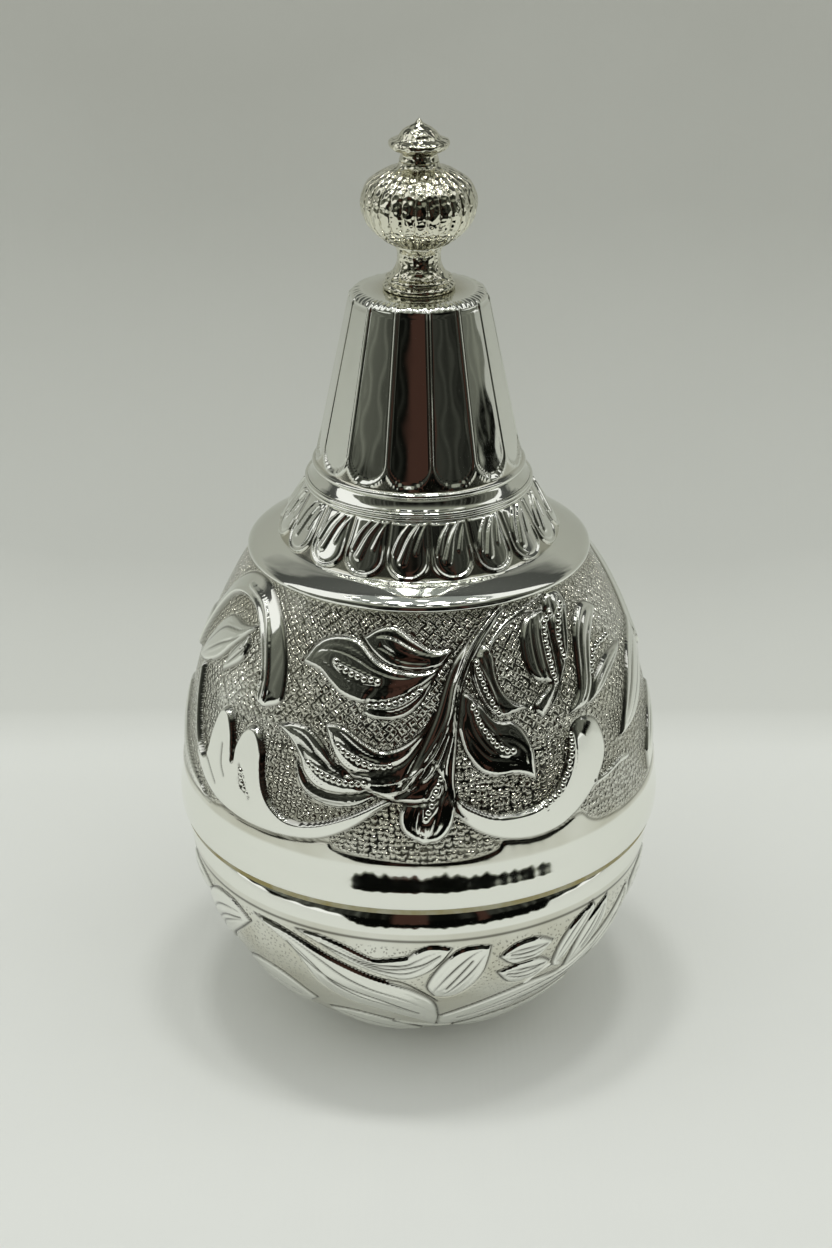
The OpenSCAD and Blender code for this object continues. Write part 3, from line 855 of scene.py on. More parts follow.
@dataclass
class Chasing:
    """The relief of a raised sheet, laid flat over angle and height.

    Lines are drawn in degrees from the front and millimetres of height. Distances are
    measured in millimetres on the sheet, wherever on the dome or bowl they are.

    Attributes:
        theta: Angle of each column, degrees.
        z: Height of each row, millimetres.
        radius: Radius of each row, millimetres.
        run: Length along the profile divided by radius, summed up to each row.
        height: Relief at each point, millimetres.
        ground: How much of the ground is left free by what is raised, 0 to 1.
        matting: How much of it is punched, 0 to 1.
        crease: How much painted shade darkens its chased lines, 0 to 1.
        reach: How far a form's edge changes the sheet, millimetres.
        line_width: Width of the chased line round a form, millimetres.
        dark_width: Width of the painted shade in it, millimetres.
    """

    theta: np.ndarray
    z: np.ndarray
    radius: np.ndarray
    run: np.ndarray
    height: np.ndarray = field(init=False)
    ground: np.ndarray = field(init=False)
    matting: np.ndarray = field(init=False)
    crease: np.ndarray = field(init=False)
    reach: float = 1.6
    line_width: float = 0.26
    dark_width: float = 0.19

    def __post_init__(self) -> None:
        """Start with a plain sheet."""
        shape = (len(self.theta), len(self.z))
        self.height, self.matting, self.crease = np.zeros(shape), np.zeros(shape), np.zeros(shape)
        self.ground = np.ones(shape)

    def flat(self, line: np.ndarray) -> np.ndarray:
        """Turn degrees and heights into the flat map's coordinates."""
        return np.stack([np.radians(line[:, 0]), np.interp(line[:, 1], self.z, self.run)], 1)

    def grid(self, window: Window) -> tuple[np.ndarray, np.ndarray]:
        """Give the map's coordinates of a window's columns and rows."""
        return np.radians(self.theta[window[0]])[:, None], self.run[window[1]][None, :]

    def window(self, line: np.ndarray, reach: float) -> Window:
        """Find which part of the map a line touches.

        Args:
            line: The line in the map's coordinates.
            reach: Distance beyond which points don't matter, millimetres.

        Returns:
            The window of columns and rows.
        """
        slack = reach / np.interp(line[:, 1], self.run, self.radius).min()
        low, high = line.min(0) - slack, line.max(0) + slack
        i0, i1 = np.searchsorted(np.radians(self.theta), [low[0], high[0]])
        j0, j1 = np.searchsorted(self.run, [low[1], high[1]])
        return slice(i0, i1), slice(j0, j1)

    def distance(self, line: np.ndarray, window: Window) -> np.ndarray:
        """Measure how far the points of a window are from a line.

        Args:
            line: The line in the map's coordinates.
            window: The window of points.

        Returns:
            Their distances, millimetres.
        """
        uu, vv = self.grid(window)
        best = np.full((uu.shape[0], vv.shape[1]), np.inf)
        for (ax, ay), (bx, by) in zip(line[:-1], line[1:]):
            dx, dy = bx - ax, by - ay
            t = np.clip(((uu - ax) * dx + (vv - ay) * dy) / max(dx * dx + dy * dy, 1e-14), 0, 1)
            best = np.minimum(best, (uu - ax - t * dx) ** 2 + (vv - ay - t * dy) ** 2)
        return np.sqrt(best) * self.radius[window[1]][None, :]

    def near(self, line: np.ndarray, reach: float) -> tuple[Window, np.ndarray]:
        """Give the window round a line, and how far its points are from the line."""
        window = self.window(line, reach)
        return window, self.distance(line, window)

    def inside(self, edge: np.ndarray, window: Window) -> np.ndarray:
        """Find which points of a window lie within a closed line.

        Args:
            edge: The closed line in the map's coordinates.
            window: The window of points.

        Returns:
            True at the points within.
        """
        uu, vv = self.grid(window)
        odd = np.zeros((uu.shape[0], vv.shape[1]), bool)
        for (ax, ay), (bx, by) in zip(edge, np.roll(edge, -1, 0)):
            if ay == by:
                continue
            crosses = (ay > vv) != (by > vv)
            odd ^= crosses & (uu < (bx - ax) * (vv - ay) / (by - ay) + ax)
        return odd

    def progress(self, line: np.ndarray, window: Window) -> np.ndarray:
        """Find how far along a line each point of a window is.

        Args:
            line: The line in the map's coordinates.
            window: The window of points.

        Returns:
            Place of the line's nearest point, from 0 at its start to 1 at its end.
        """
        uu, vv = self.grid(window)
        return nearest([(uu - u) ** 2 + (vv - v) ** 2 for u, v in line])[1]

    def darken(self, window: Window, share: np.ndarray) -> None:
        """Paint shade into a chased line."""
        self.crease[window] = np.maximum(self.crease[window], share)

    def _raise(
        self, window: Window, within: np.ndarray, far: np.ndarray, form: np.ndarray, line: float, kept: float
    ) -> None:
        """Set a form on the sheet over what is there, with a chased line round it.

        Args:
            window: The window of points.
            within: Which of them the form covers.
            far: Their distances from its edge, millimetres.
            form: The form's height, millimetres.
            line: Depth of the line round it, millimetres.
            kept: Share of what is round it that is kept right beside it.
        """
        old = self.height[window] * (kept + (1 - kept) * smoothstep(0.0, 1.0, far))
        self.height[window] = np.where(within, form, old) - line * bell(far, self.line_width)
        self.crease[window] *= ~within
        # Painted shade along the chased line round the form.
        self.darken(window, 0.9 * bell(far, self.dark_width))
        self.ground[window] *= np.where(within, 0, smoothstep(0.1, 0.5, far))

    def lobe(
        self,
        upper: Path,
        lower: Path,
        height: float = 0.55,
        puff: float = 3.0,
        line: float = 0.14,
        rim: float = 0.36,
    ) -> None:
        """Raise a leaf between two edges, with a chased line round it.

        Args:
            upper: One edge.
            lower: The other edge, which runs the same way.
            height: Height of its middle, millimetres.
            puff: Width over which it rounds up from its edge, millimetres.
            line: Depth of the line round it, millimetres.
            rim: Height of the rolled rim just inside its edge, millimetres.
        """
        edge = self.flat(np.vstack([spline(upper), spline(lower)[::-1]]))
        window, far = self.near(edge, self.reach)
        lip = rim * quarter_round(far / 0.5) * (1 - 0.55 * smoothstep(0.6, 1.15, far))
        pillow = lip + (height - 0.45 * rim) * quarter_round((far - 0.7) / puff)
        self._raise(window, self.inside(edge, window), far, pillow, line, 0.15)

    def band(self, outer: Path, inner: Path, low: float = 0.12, high: float = 0.75) -> None:
        """Raise a flat scroll band that leans up towards its inner edge.

        Args:
            outer: The edge that stays low.
            inner: The edge that stands high and sharp.
            low: Height at the low edge, millimetres.
            high: Height at the high edge, millimetres.
        """
        low_line, high_line = self.flat(spline(outer)), self.flat(spline(inner))
        edge = np.vstack([low_line, high_line[::-1]])
        window, far = self.near(edge, self.reach)
        from_low, from_high = self.distance(low_line, window), self.distance(high_line, window)
        share = from_low / np.maximum(from_low + from_high, 1e-6)
        slab = (low + (high - low) * share) * quarter_round(far / 0.45)
        slab += 0.10 * bell(from_high - 0.55, 0.3)
        self._raise(window, self.inside(edge, window), far, slab, 0.12, 0.1)

    def ridge(self, path: Path, width: float, height: float) -> None:
        """Raise a rounded line that keeps the matting off.

        Args:
            path: The line.
            width: Its width, millimetres.
            height: Its height over what is under it, millimetres.
        """
        window, far = self.near(self.flat(spline(path)), width)
        self.height[window] += height * np.sqrt(np.clip(1 - (far / (width / 2)) ** 2, 0, 1))
        self.ground[window] *= smoothstep(width * 0.45, width * 0.6, far)

    def groove(self, path: Path, width: float = 0.3, depth: float = 0.16) -> None:
        """Chase a line into the surface.

        Args:
            path: The line.
            width: Its width, millimetres.
            depth: Its depth, millimetres.
        """
        window, far = self.near(self.flat(spline(path)), width * 3)
        self.height[window] -= depth * bell(far, width)
        self.darken(window, bell(far, 0.7 * width))

    def vein(self, path: Path, width: float = 1.6) -> None:
        """Chase a slim lens round a row of beads.

        Args:
            path: The row.
            width: The lens's width at its middle, millimetres.
        """
        line = self.flat(spline(path))
        window, far = self.near(line, 2 * width)
        along = self.progress(line, window)
        half = 0.5 * width * np.sin(math.pi * np.clip(along, 0.06, 0.94)) ** 0.6
        self.height[window] -= 0.12 * smoothstep(0.0, 0.3, half - far)
        self.darken(window, 0.8 * smoothstep(0.1, 0.3, half - far))
        self.height[window] += 0.12 * bell(far - half, 0.16)
        self.height[window] -= 0.10 * bell(far - half - 0.4, 0.16)

    def fold(self, upper: Path, lower: Path, share: float, depth: float = 0.13) -> None:
        """Chase a tapering crease along the inside of a leaf.

        Args:
            upper: One edge of the leaf.
            lower: Its other edge.
            share: Where between the edges the crease runs, 0 to 1.
            depth: Its depth at the middle, millimetres.
        """
        along = np.linspace(0.1, 0.9, 24)
        picked = []
        for edge in (self.flat(spline(upper)), self.flat(spline(lower))):
            place = np.linspace(0, 1, len(edge))
            picked.append(np.stack([np.interp(along, place, edge[:, k]) for k in (0, 1)], 1))
        line = picked[0] * (1 - share) + picked[1] * share
        window, far = self.near(line, 1.0)
        taper = np.sin(math.pi * np.clip(self.progress(line, window), 0.02, 0.98))
        self.height[window] -= depth * taper * bell(far, 0.12 + 0.14 * taper)
        self.darken(window, taper * bell(far, 0.06 + 0.12 * taper))
        self.height[window] += 0.4 * depth * taper * bell(far - 0.42, 0.16)

    def mat(self, keep: np.ndarray, sink: float = 0.08) -> None:
        """Sink and mat the ground.

        Args:
            keep: Where the ground is matted, 0 to 1.
            sink: How far the punch drives the ground in, millimetres.
        """
        self.matting = self.ground * keep
        self.height -= sink * self.matting


# Strokes are points of angle from the front, degrees, and height, millimetres. They fill half a
# turn, and the other half repeats them. A leaf is two edges, most of which share their tips.
# These are the dome's.
DOME_PLAIN: Path = [
    (-90, 48.5), (-60, 48.6), (-52, 49.3), (-42, 48.9), (-31, 49.2), (-24, 50), (-21, 50.2),
    (-19.5, 49.4), (-15, 48.7), (-8, 48.3), (0, 47.9), (8, 48.1), (14, 48.6), (18, 49.4),
    (20, 50.6), (27, 50), (34, 50.4), (40, 51.5), (43, 50), (46, 49), (52, 48.4), (60, 48.2),
    (70, 48.4), (78, 49), (82, 50.5), (90, 48.5),
]  # fmt: skip
DOME_BANDS: list[Leaf] = [
    ([(-90, 72), (-84, 77), (-78, 81), (-70, 83.3), (-60, 83.8), (-52, 82.6), (-45, 80),
      (-40, 76.3), (-38, 73), (-38, 69.5), (-43, 67.8)],
     [(-90, 66), (-85, 71), (-80, 75.5), (-74, 79), (-66, 80.3), (-58, 79.8), (-52, 77.5),
      (-48, 74.5), (-46, 71.5), (-45.5, 68.5), (-43, 67.8)]),
    ([(-4, 58.8), (-9, 56.6), (-16, 53), (-23, 50.6), (-31, 49.5), (-42, 49.1), (-52, 49.6),
      (-60, 51), (-67, 54), (-72, 58), (-76, 63), (-80, 68), (-77, 70)],
     [(-4, 59.6), (-10, 57.4), (-18, 54.6), (-25, 52.8), (-31, 52.3), (-35.5, 53.7),
      (-38.3, 56), (-39.6, 59), (-40.2, 61.8), (-42.3, 64), (-45, 64.6), (-47.6, 63.2),
      (-49.3, 60.5), (-49.5, 58), (-51, 62), (-54, 64.8), (-57.5, 64.5), (-59.5, 61),
      (-60.5, 57), (-62, 55.5), (-66, 57), (-70, 61), (-74, 66), (-77, 70)]),
    ([(7.5, 57.5), (10, 54.8), (14, 52.6), (20, 50.9), (27, 50.2), (34, 50.7), (40, 52.4),
      (46, 55.1), (50, 58), (51.3, 61), (50.5, 63.5), (48.5, 65.2), (44.5, 66), (41, 65.3),
      (39.3, 63.5)],
     [(7.5, 57.5), (9.5, 58), (12, 56.8), (18, 55), (26, 54.8), (32, 56), (36, 58.4),
      (38.5, 61.2), (39.3, 63.5)]),
]  # fmt: skip
DOME_LEAVES: list[Leaf] = [
    ([(-64, 69), (-62, 73), (-58, 76.5), (-55, 75)], [(-64, 69), (-60, 70.5), (-56, 72.5), (-55, 75)]),
    ([(-84, 66), (-78, 72), (-70, 76.5), (-60, 77), (-54, 78)],
     [(-84, 66), (-76, 67.5), (-68, 70), (-62, 73.5), (-54, 78)]),
    ([(-31, 62.6), (-28.5, 60), (-26, 58.6), (-20, 58), (-13, 59), (-7, 60.5)],
     [(-31, 62.6), (-29, 58.5), (-25, 56.7), (-19, 56.2), (-13, 57.3), (-7, 60.5)]),
    ([(-37.5, 66.2), (-33, 67.2), (-28, 66.9), (-24, 65.2), (-20, 62.6), (-13, 61.5), (-4, 62.5)],
     [(-37.5, 66.2), (-32.5, 64.6), (-29.5, 62.4), (-28, 60.4), (-24, 58.6), (-17, 58.5),
      (-10, 59.8), (-4, 62.5)]),
    ([(-24, 68.3), (-19, 68.2), (-14, 66.6), (-9, 65.4), (-4, 66.2), (1, 68.5), (4, 71)],
     [(-24, 68.3), (-22, 65.5), (-19.5, 63.3), (-16, 62), (-9, 61.6), (-3, 62.8), (4, 71)]),
    ([(-14.5, 72.2), (-8, 72.8), (-1, 74.5), (5, 76.5)],
     [(-14.5, 70.3), (-8, 70), (-3, 70.8), (1, 73), (5, 76.5)]),
    ([(-34, 76), (-31, 78.8), (-27, 80.2), (-21, 80.6), (-16, 79.9), (-12, 78.4), (-6, 77),
      (2, 77), (8, 78)],
     [(-34, 76), (-28, 75.4), (-24, 73.9), (-20, 72.6), (-14, 72.1), (-6, 73), (2, 75.3), (8, 78)]),
    ([(-17, 80.7), (-12, 82.2), (-7, 82.5), (-2, 81), (4, 79.4), (10, 79.5)],
     [(-17, 80.7), (-13, 78.8), (-8, 77.4), (0, 76.9), (6, 77.5), (10, 79.5)]),
    ([(8.5, 73), (12, 73.5), (16, 71.5), (20, 69), (24, 68.5), (27, 66.5), (28.6, 63.5), (28.7, 59.3)],
     [(8.5, 73), (10.5, 67), (12, 64.5), (15, 62), (19, 61), (23, 60.9), (26, 60.3), (28.7, 59.3)]),
    ([(16, 79.5), (14.5, 77), (15.5, 74), (18, 71), (21, 69.6), (25, 69.8), (29.8, 70.2)],
     [(16, 79.5), (19.5, 79.5), (21.3, 78), (21.2, 75.5), (22.5, 73), (25.5, 71), (29.8, 70.2)]),
    ([(33, 68), (31, 70), (37, 72.3), (33, 73.5), (31, 75.5), (30.8, 78), (32, 80), (35, 81.8), (41, 82.3)],
     [(33, 68), (37, 70), (40.5, 72.5), (41.5, 75), (42, 78), (43, 82.5), (41, 82.3)]),
    ([(33, 68), (37, 70), (40.5, 72.5), (41.5, 75), (42, 78), (43, 82.5), (46, 84.2)],
     [(33, 68), (38, 70), (41, 72.2), (44, 74.2), (47, 76.5), (50, 79.5), (52.5, 82), (51, 83.8),
      (46, 84.2)]),
    ([(46, 67), (52, 70), (58, 71.8), (64, 72.4), (72, 72.2)],
     [(46, 67), (54, 68), (60, 69.5), (68, 71), (72, 72.2)]),
    ([(41, 67.3), (46, 70), (48, 74), (50.5, 77.5), (54, 79.5), (60, 80.6), (66, 79)],
     [(41, 67.3), (47, 67.4), (51, 69.5), (53, 72), (56, 75), (60, 77), (66, 79)]),
    ([(58, 59.5), (66, 65.5), (76, 70.3), (90, 72)], [(58, 59.5), (68, 60.5), (80, 64), (90, 66)]),
    ([(-90, 60), (-84, 58), (-78, 54.5), (-70, 51.8), (-62, 50.2)],
     [(-90, 55), (-82, 52.5), (-74, 50.2), (-66, 49), (-58, 48.6)]),
    ([(90, 60), (82, 58.8), (76, 56), (72, 53)], [(90, 55), (84, 53.5), (78, 51), (72, 49.5)]),
    ([(5.5, 64), (1, 61.2), (-3, 58), (-4.3, 55.5), (-3, 53), (1, 51.4)],
     [(5.5, 64), (7.5, 60), (8.2, 57), (7.3, 54), (4.8, 52), (1, 51.4)]),
]  # fmt: skip
DOME_TRUNK: list[Leaf] = [
    ([(-17, 61.6), (-10, 62.4), (-4, 63.8), (0, 66.5), (4, 70)],
     [(-17, 61.6), (-12, 59.4), (-6, 58.2), (1, 58), (6, 60), (4, 70)]),
    ([(26, 84.3), (16, 80.8), (9, 77), (4, 70), (0, 65), (-4, 60), (-5, 58.8), (0, 61.5), (3, 64)],
     [(30, 84.3), (20, 80.5), (12.5, 75.5), (10, 70), (8.8, 65), (8.2, 61), (8.4, 57.5), (5, 62), (3, 64)]),
]  # fmt: skip
DOME_STEMS: list[Path] = [
    [(28, 84.2), (17, 81), (10, 75.5), (7, 70), (2, 65), (-3, 60.5), (-5, 59.5)],
    [(26.5, 84.1), (16.5, 80.4), (9.6, 75), (7.4, 70), (4.2, 65.6), (0.5, 62), (-2, 60)],
    [(24.8, 83.8), (15.4, 79.8), (9.8, 74.5), (7.7, 69), (5.4, 65), (3.4, 62.6), (1.4, 61.4)],
    [(23, 83.5), (14, 79), (10, 74), (8, 68), (6, 62), (8, 57), (10, 55)],
    [(7, 69), (3, 64.5), (-3, 61.6), (-10, 60.6), (-17, 61)],
    [(7, 68), (4, 63.5), (-1, 60.4), (-7, 59.4), (-13, 59.6)],
    [(10, 75), (16, 79.8), (22, 82.3), (30, 84)],
    [(20, 79), (27, 81.5), (35, 82.5), (41, 82)],
    [(20, 78.5), (23, 80.5), (28, 82), (35, 83), (44, 84)],
]  # fmt: skip
DOME_RIDGES: list[Path] = [
    [(-66, 82), (-56, 81.3), (-50, 79), (-45.5, 75), (-43.5, 71.5), (-43.5, 69)],
    [(46, 55.3), (50, 55.5), (56, 56.2), (60, 56)],
]  # fmt: skip
DOME_LINES: list[Path] = [
    [(-30, 64.5), (-25, 63.3), (-18, 61.6), (-12, 60.9)],
    [(-17, 80.5), (-13, 78.5), (-8, 77), (-2, 76.6), (4, 77)],
    [(-11, 80), (-5, 78.3), (2, 77.8)],
    [(-12, 74), (-14, 72.5), (-14, 70)],
    [(-54.5, 59.5), (-54, 56.5), (-52.5, 54.7)],
    [(-60.5, 56), (-58, 54), (-56, 52.5)],
    [(-67.5, 60.5), (-65, 58), (-63, 56.5)],
    [(-47, 58), (-46, 56), (-43, 53.5)],
]  # fmt: skip
DOME_BEADS: list[Path] = [
    [(-47.5, 73), (-46.5, 72), (-46.5, 70.5)],
    [(-27, 62), (-23, 60.7), (-18, 60.1), (-13, 60.3)],
    [(-20, 65.5), (-16, 64), (-11, 63), (-7, 63.2)],
    [(-23.5, 77), (-20, 76), (-16, 75.4), (-11, 75.1)],
    [(-13, 71.7), (-8, 72), (-4, 72.8), (0, 74)],
    [(14, 71.5), (15.5, 69), (18, 66.5), (21, 64.7), (23, 64.4)],
    [(16, 77.3), (17, 75), (18.5, 72.5), (20.5, 70)],
    [(44, 81.5), (40, 80), (38.7, 77), (38.5, 74), (39, 72.3)],
    [(49.5, 82), (46, 80), (44, 77.5), (43.5, 75.2)],
    [(53, 71.5), (57, 73.8), (61, 74.3), (66, 74.3)],
    [(1.5, 55.5), (3, 58), (5, 61.5)],
    [(-46.5, 57), (-45.5, 55.2), (-43.5, 54)],
    [(30, 55), (34, 56.5), (38, 60), (40, 64)],
]  # fmt: skip

# Strokes of the bowl.
BOWL_LEAVES: list[Leaf] = [
    ([(-46, 29.5), (-52, 32), (-60, 31.5), (-68, 28), (-76, 22)],
     [(-46, 29.5), (-52, 26), (-60, 22), (-68, 18), (-76, 22)]),
    ([(6, 14), (14, 16.5), (22, 18.5), (32, 20), (42, 20), (50, 22), (58, 26), (64, 31)],
     [(6, 10), (18, 11.5), (32, 14), (46, 16), (56, 20), (62, 25), (64, 31)]),
    ([(-31, 32.4), (-25, 32.5), (-19, 31.5), (-14, 30), (-11, 29.2), (-7, 29.6), (-3, 30.2),
      (-1, 31.3), (2, 32.4), (5, 32.4), (8, 31.8)],
     [(-31, 32.4), (-25, 30.8), (-18, 28.4), (-10, 26.2), (-4, 25.2), (1, 26.3), (5, 28.7), (8, 31.8)]),
    ([(-44, 31.9), (-36, 31.6), (-29, 30.2), (-22, 28), (-15, 26), (-9, 24.4), (-2, 22.5), (4, 19), (6, 14)],
     [(-44, 31.9), (-37, 29.8), (-33, 27.8), (-30, 25), (-27, 21), (-20, 18), (-10, 16), (0, 13), (6, 10)]),
    ([(4, 20.8), (2, 23.5), (5, 28), (9, 31), (13, 31.8), (17.5, 31.4)],
     [(4, 20.8), (9, 20.7), (13, 22.5), (16, 25.5), (17, 28.5), (17.5, 31.4)]),
    ([(20, 28.5), (24, 30.6), (30, 30.8), (35, 29)], [(20, 28.5), (24, 26.3), (30, 25.8), (35, 29)]),
    ([(20, 25), (26, 26), (32, 25.8), (36, 24)], [(20, 25), (24, 22), (30, 21.3), (36, 24)]),
    ([(37, 22), (37.5, 27), (41, 31), (47, 33.3)], [(37, 22), (41, 24), (44.5, 28), (48, 31.5), (47, 33.3)]),
    ([(43, 20), (44, 26), (47, 30), (53, 33)], [(43, 20), (50, 23), (54, 28), (53, 33)]),
    ([(-82, 30), (-78, 32.5), (-70, 32), (-64, 30)], [(-82, 30), (-78, 27), (-72, 27), (-64, 30)]),
    ([(68, 30), (74, 32.6), (82, 32), (88, 29)], [(68, 30), (72, 25), (80, 24), (88, 29)]),
    ([(-60, 17), (-50, 20), (-40, 19.5), (-32, 15)], [(-60, 17), (-54, 11.5), (-44, 10), (-32, 15)]),
    ([(-30, 13), (-20, 14), (-8, 12), (2, 7.5)], [(-30, 13), (-24, 8.5), (-12, 6), (2, 7.5)]),
    ([(12, 9), (24, 11), (40, 12), (54, 15)], [(12, 9), (24, 6), (44, 7), (54, 15)]),
    ([(60, 18), (66, 22), (76, 22), (86, 16)], [(60, 18), (66, 12), (78, 10), (86, 16)]),
]  # fmt: skip
BOWL_LINES: list[Path] = [
    [(-42, 31.8), (-36, 31.5), (-30, 30.3), (-22, 28), (-15, 26), (-10, 24.8), (-4, 24), (2, 21), (5, 19)],
    [(-34, 29), (-28, 25.5), (-20, 22), (-10, 19.5), (0, 16)],
    [(-24, 30.8), (-16, 29), (-8, 27.6), (0, 28.6), (5, 30.6)],
    [(7, 23), (10, 26), (13, 29)],
    [(23, 28.6), (28, 28.4), (33, 28.8)],
    [(23, 24.2), (28, 23.8), (34, 24.2)],
    [(40, 25), (43, 28.5), (46, 31.5)],
    [(47, 24), (50, 28), (52, 31)],
    [(12, 13.5), (24, 15.6), (38, 17), (50, 19.5), (60, 26)],
    [(-50, 29), (-58, 27), (-66, 23.5), (-73, 21.5)],
    [(-56, 16.5), (-48, 15), (-38, 15)],
    [(16, 9), (30, 9), (46, 12)],
    [(-26, 11.5), (-16, 10), (-4, 8)],
    [(72, 29), (78, 28.5), (85, 29)],
]  # fmt: skip
BOWL_RIDGES: list[Path] = [
    [(-88, 25), (-80, 20), (-70, 15.5), (-58, 12), (-46, 8)],
    [(-8, 12), (4, 10), (12, 9)],
    [(30, 20), (33, 22), (37, 23), (40, 22)],
    [(64, 31), (68, 27), (70, 24), (76, 23)],
]  # fmt: skip


# ---------------------------------------------------------------- sub-assemblies


def arc(centre: tuple[float, float], rx: float, rz: float, a: float, b: float, count: int) -> np.ndarray:
    """Points of an ellipse's arc in the radius and height plane, from a to b degrees."""
    t = np.radians(np.linspace(a, b, count))
    return np.stack([centre[0] + rx * np.cos(t), centre[1] + rz * np.sin(t)], 1)


def reach_angle(z: float, centre: float, rise: float) -> float:
    """Angle on an ellipse where it reaches a height, degrees."""
    return math.degrees(math.asin((z - centre) / rise))


def run_of(radius: np.ndarray, z: np.ndarray) -> np.ndarray:
    """Sum length over radius along a profile, so that the flat map keeps angles."""
    step = np.hypot(np.diff(radius), np.diff(z)) / ((radius[1:] + radius[:-1]) / 2)
    return np.concatenate([[0.0], np.cumsum(step)])


@dataclass
class ReliefShell:
    """A raised sheet whose outside carries chased relief, the same twice round.

    Attributes:
        name: Stem of its pieces' names.
        body: The body that it belongs to.
        node: The CAD node that it stands for.
        slot: The record's material slot. Not used.
        finish: Its finish.
        columns: Columns round the whole turn; half of them make one repeat.
        sectors: Pieces that it's split into.
    """

    name: str
    body: Body
    node: str
    slot: str
    finish: SilverPlate
    columns: int = 1140
    sectors: int = 3

    def profile(self) -> tuple[np.ndarray, int, int]:
        """Draw the profile.

        Returns:
            The closed profile, and the first and last row of the relief.
        """
        raise NotImplementedError

    def chase(self, sheet: Chasing) -> None:
        """Work the relief of one repeat, half a turn, into the sheet.

        Args:
            sheet: The plain sheet.
        """
        raise NotImplementedError

    def build(self) -> None:
        """Make the pieces."""
        points, low, high = self.profile()
        rows = slice(low, high + 1)
        radius, z = points[rows, 0], points[rows, 1]
        half = self.columns // 2
        sheet = Chasing(-90 + 180 * np.arange(half) / half, z, radius, run_of(radius, z))
        self.chase(sheet)
        turning = Turning(points, -180.0, 360.0, self.columns)
        twice = (np.arange(self.columns + 1) - self.columns // 4) % half

        def whole(values: np.ndarray) -> np.ndarray:
            """Widen values on the relief's rows to the whole profile, with 0 elsewhere."""
            wide = np.broadcast_to(values, (self.columns + 1, len(z)))
            return np.pad(wide, ((0, 0), (low, len(points) - high - 1)))

        relief, free = sheet.height[twice], sheet.ground[twice]
        hollow = np.clip(0.35 - relief, 0, 0.5) * 1.2 + 0.3 * free
        across = whole(turning.angles[:, None] * radius.mean())
        upward = whole(sheet.run[None, :] * radius.mean())
        attributes = {
            "matting": whole(sheet.matting[twice]),
            "recess": whole(np.clip(hollow, 0, 1)),
            "crease": whole(sheet.crease[twice]),
            "sheet": np.stack([across, upward, np.zeros_like(across)], 2),
        }
        turning.swing(whole(relief + hammer_wobble(turning.angles[:, None], z[None, :], 0.02, 3)))
        cuts = np.linspace(0, self.columns, self.sectors + 1).astype(int)
        for number, (first, last) in enumerate(zip(cuts[:-1], cuts[1:]), 1):
            piece = turning.part(f"{self.name}_{number}", first, last, attributes)
            finish_piece(piece, self.body, self.finish.make(), (self.node,))
        self.after(turning, rows)

    def after(self, turning: Turning, rows: slice) -> None:
        """Add what sits on the relief. Most shells have nothing."""


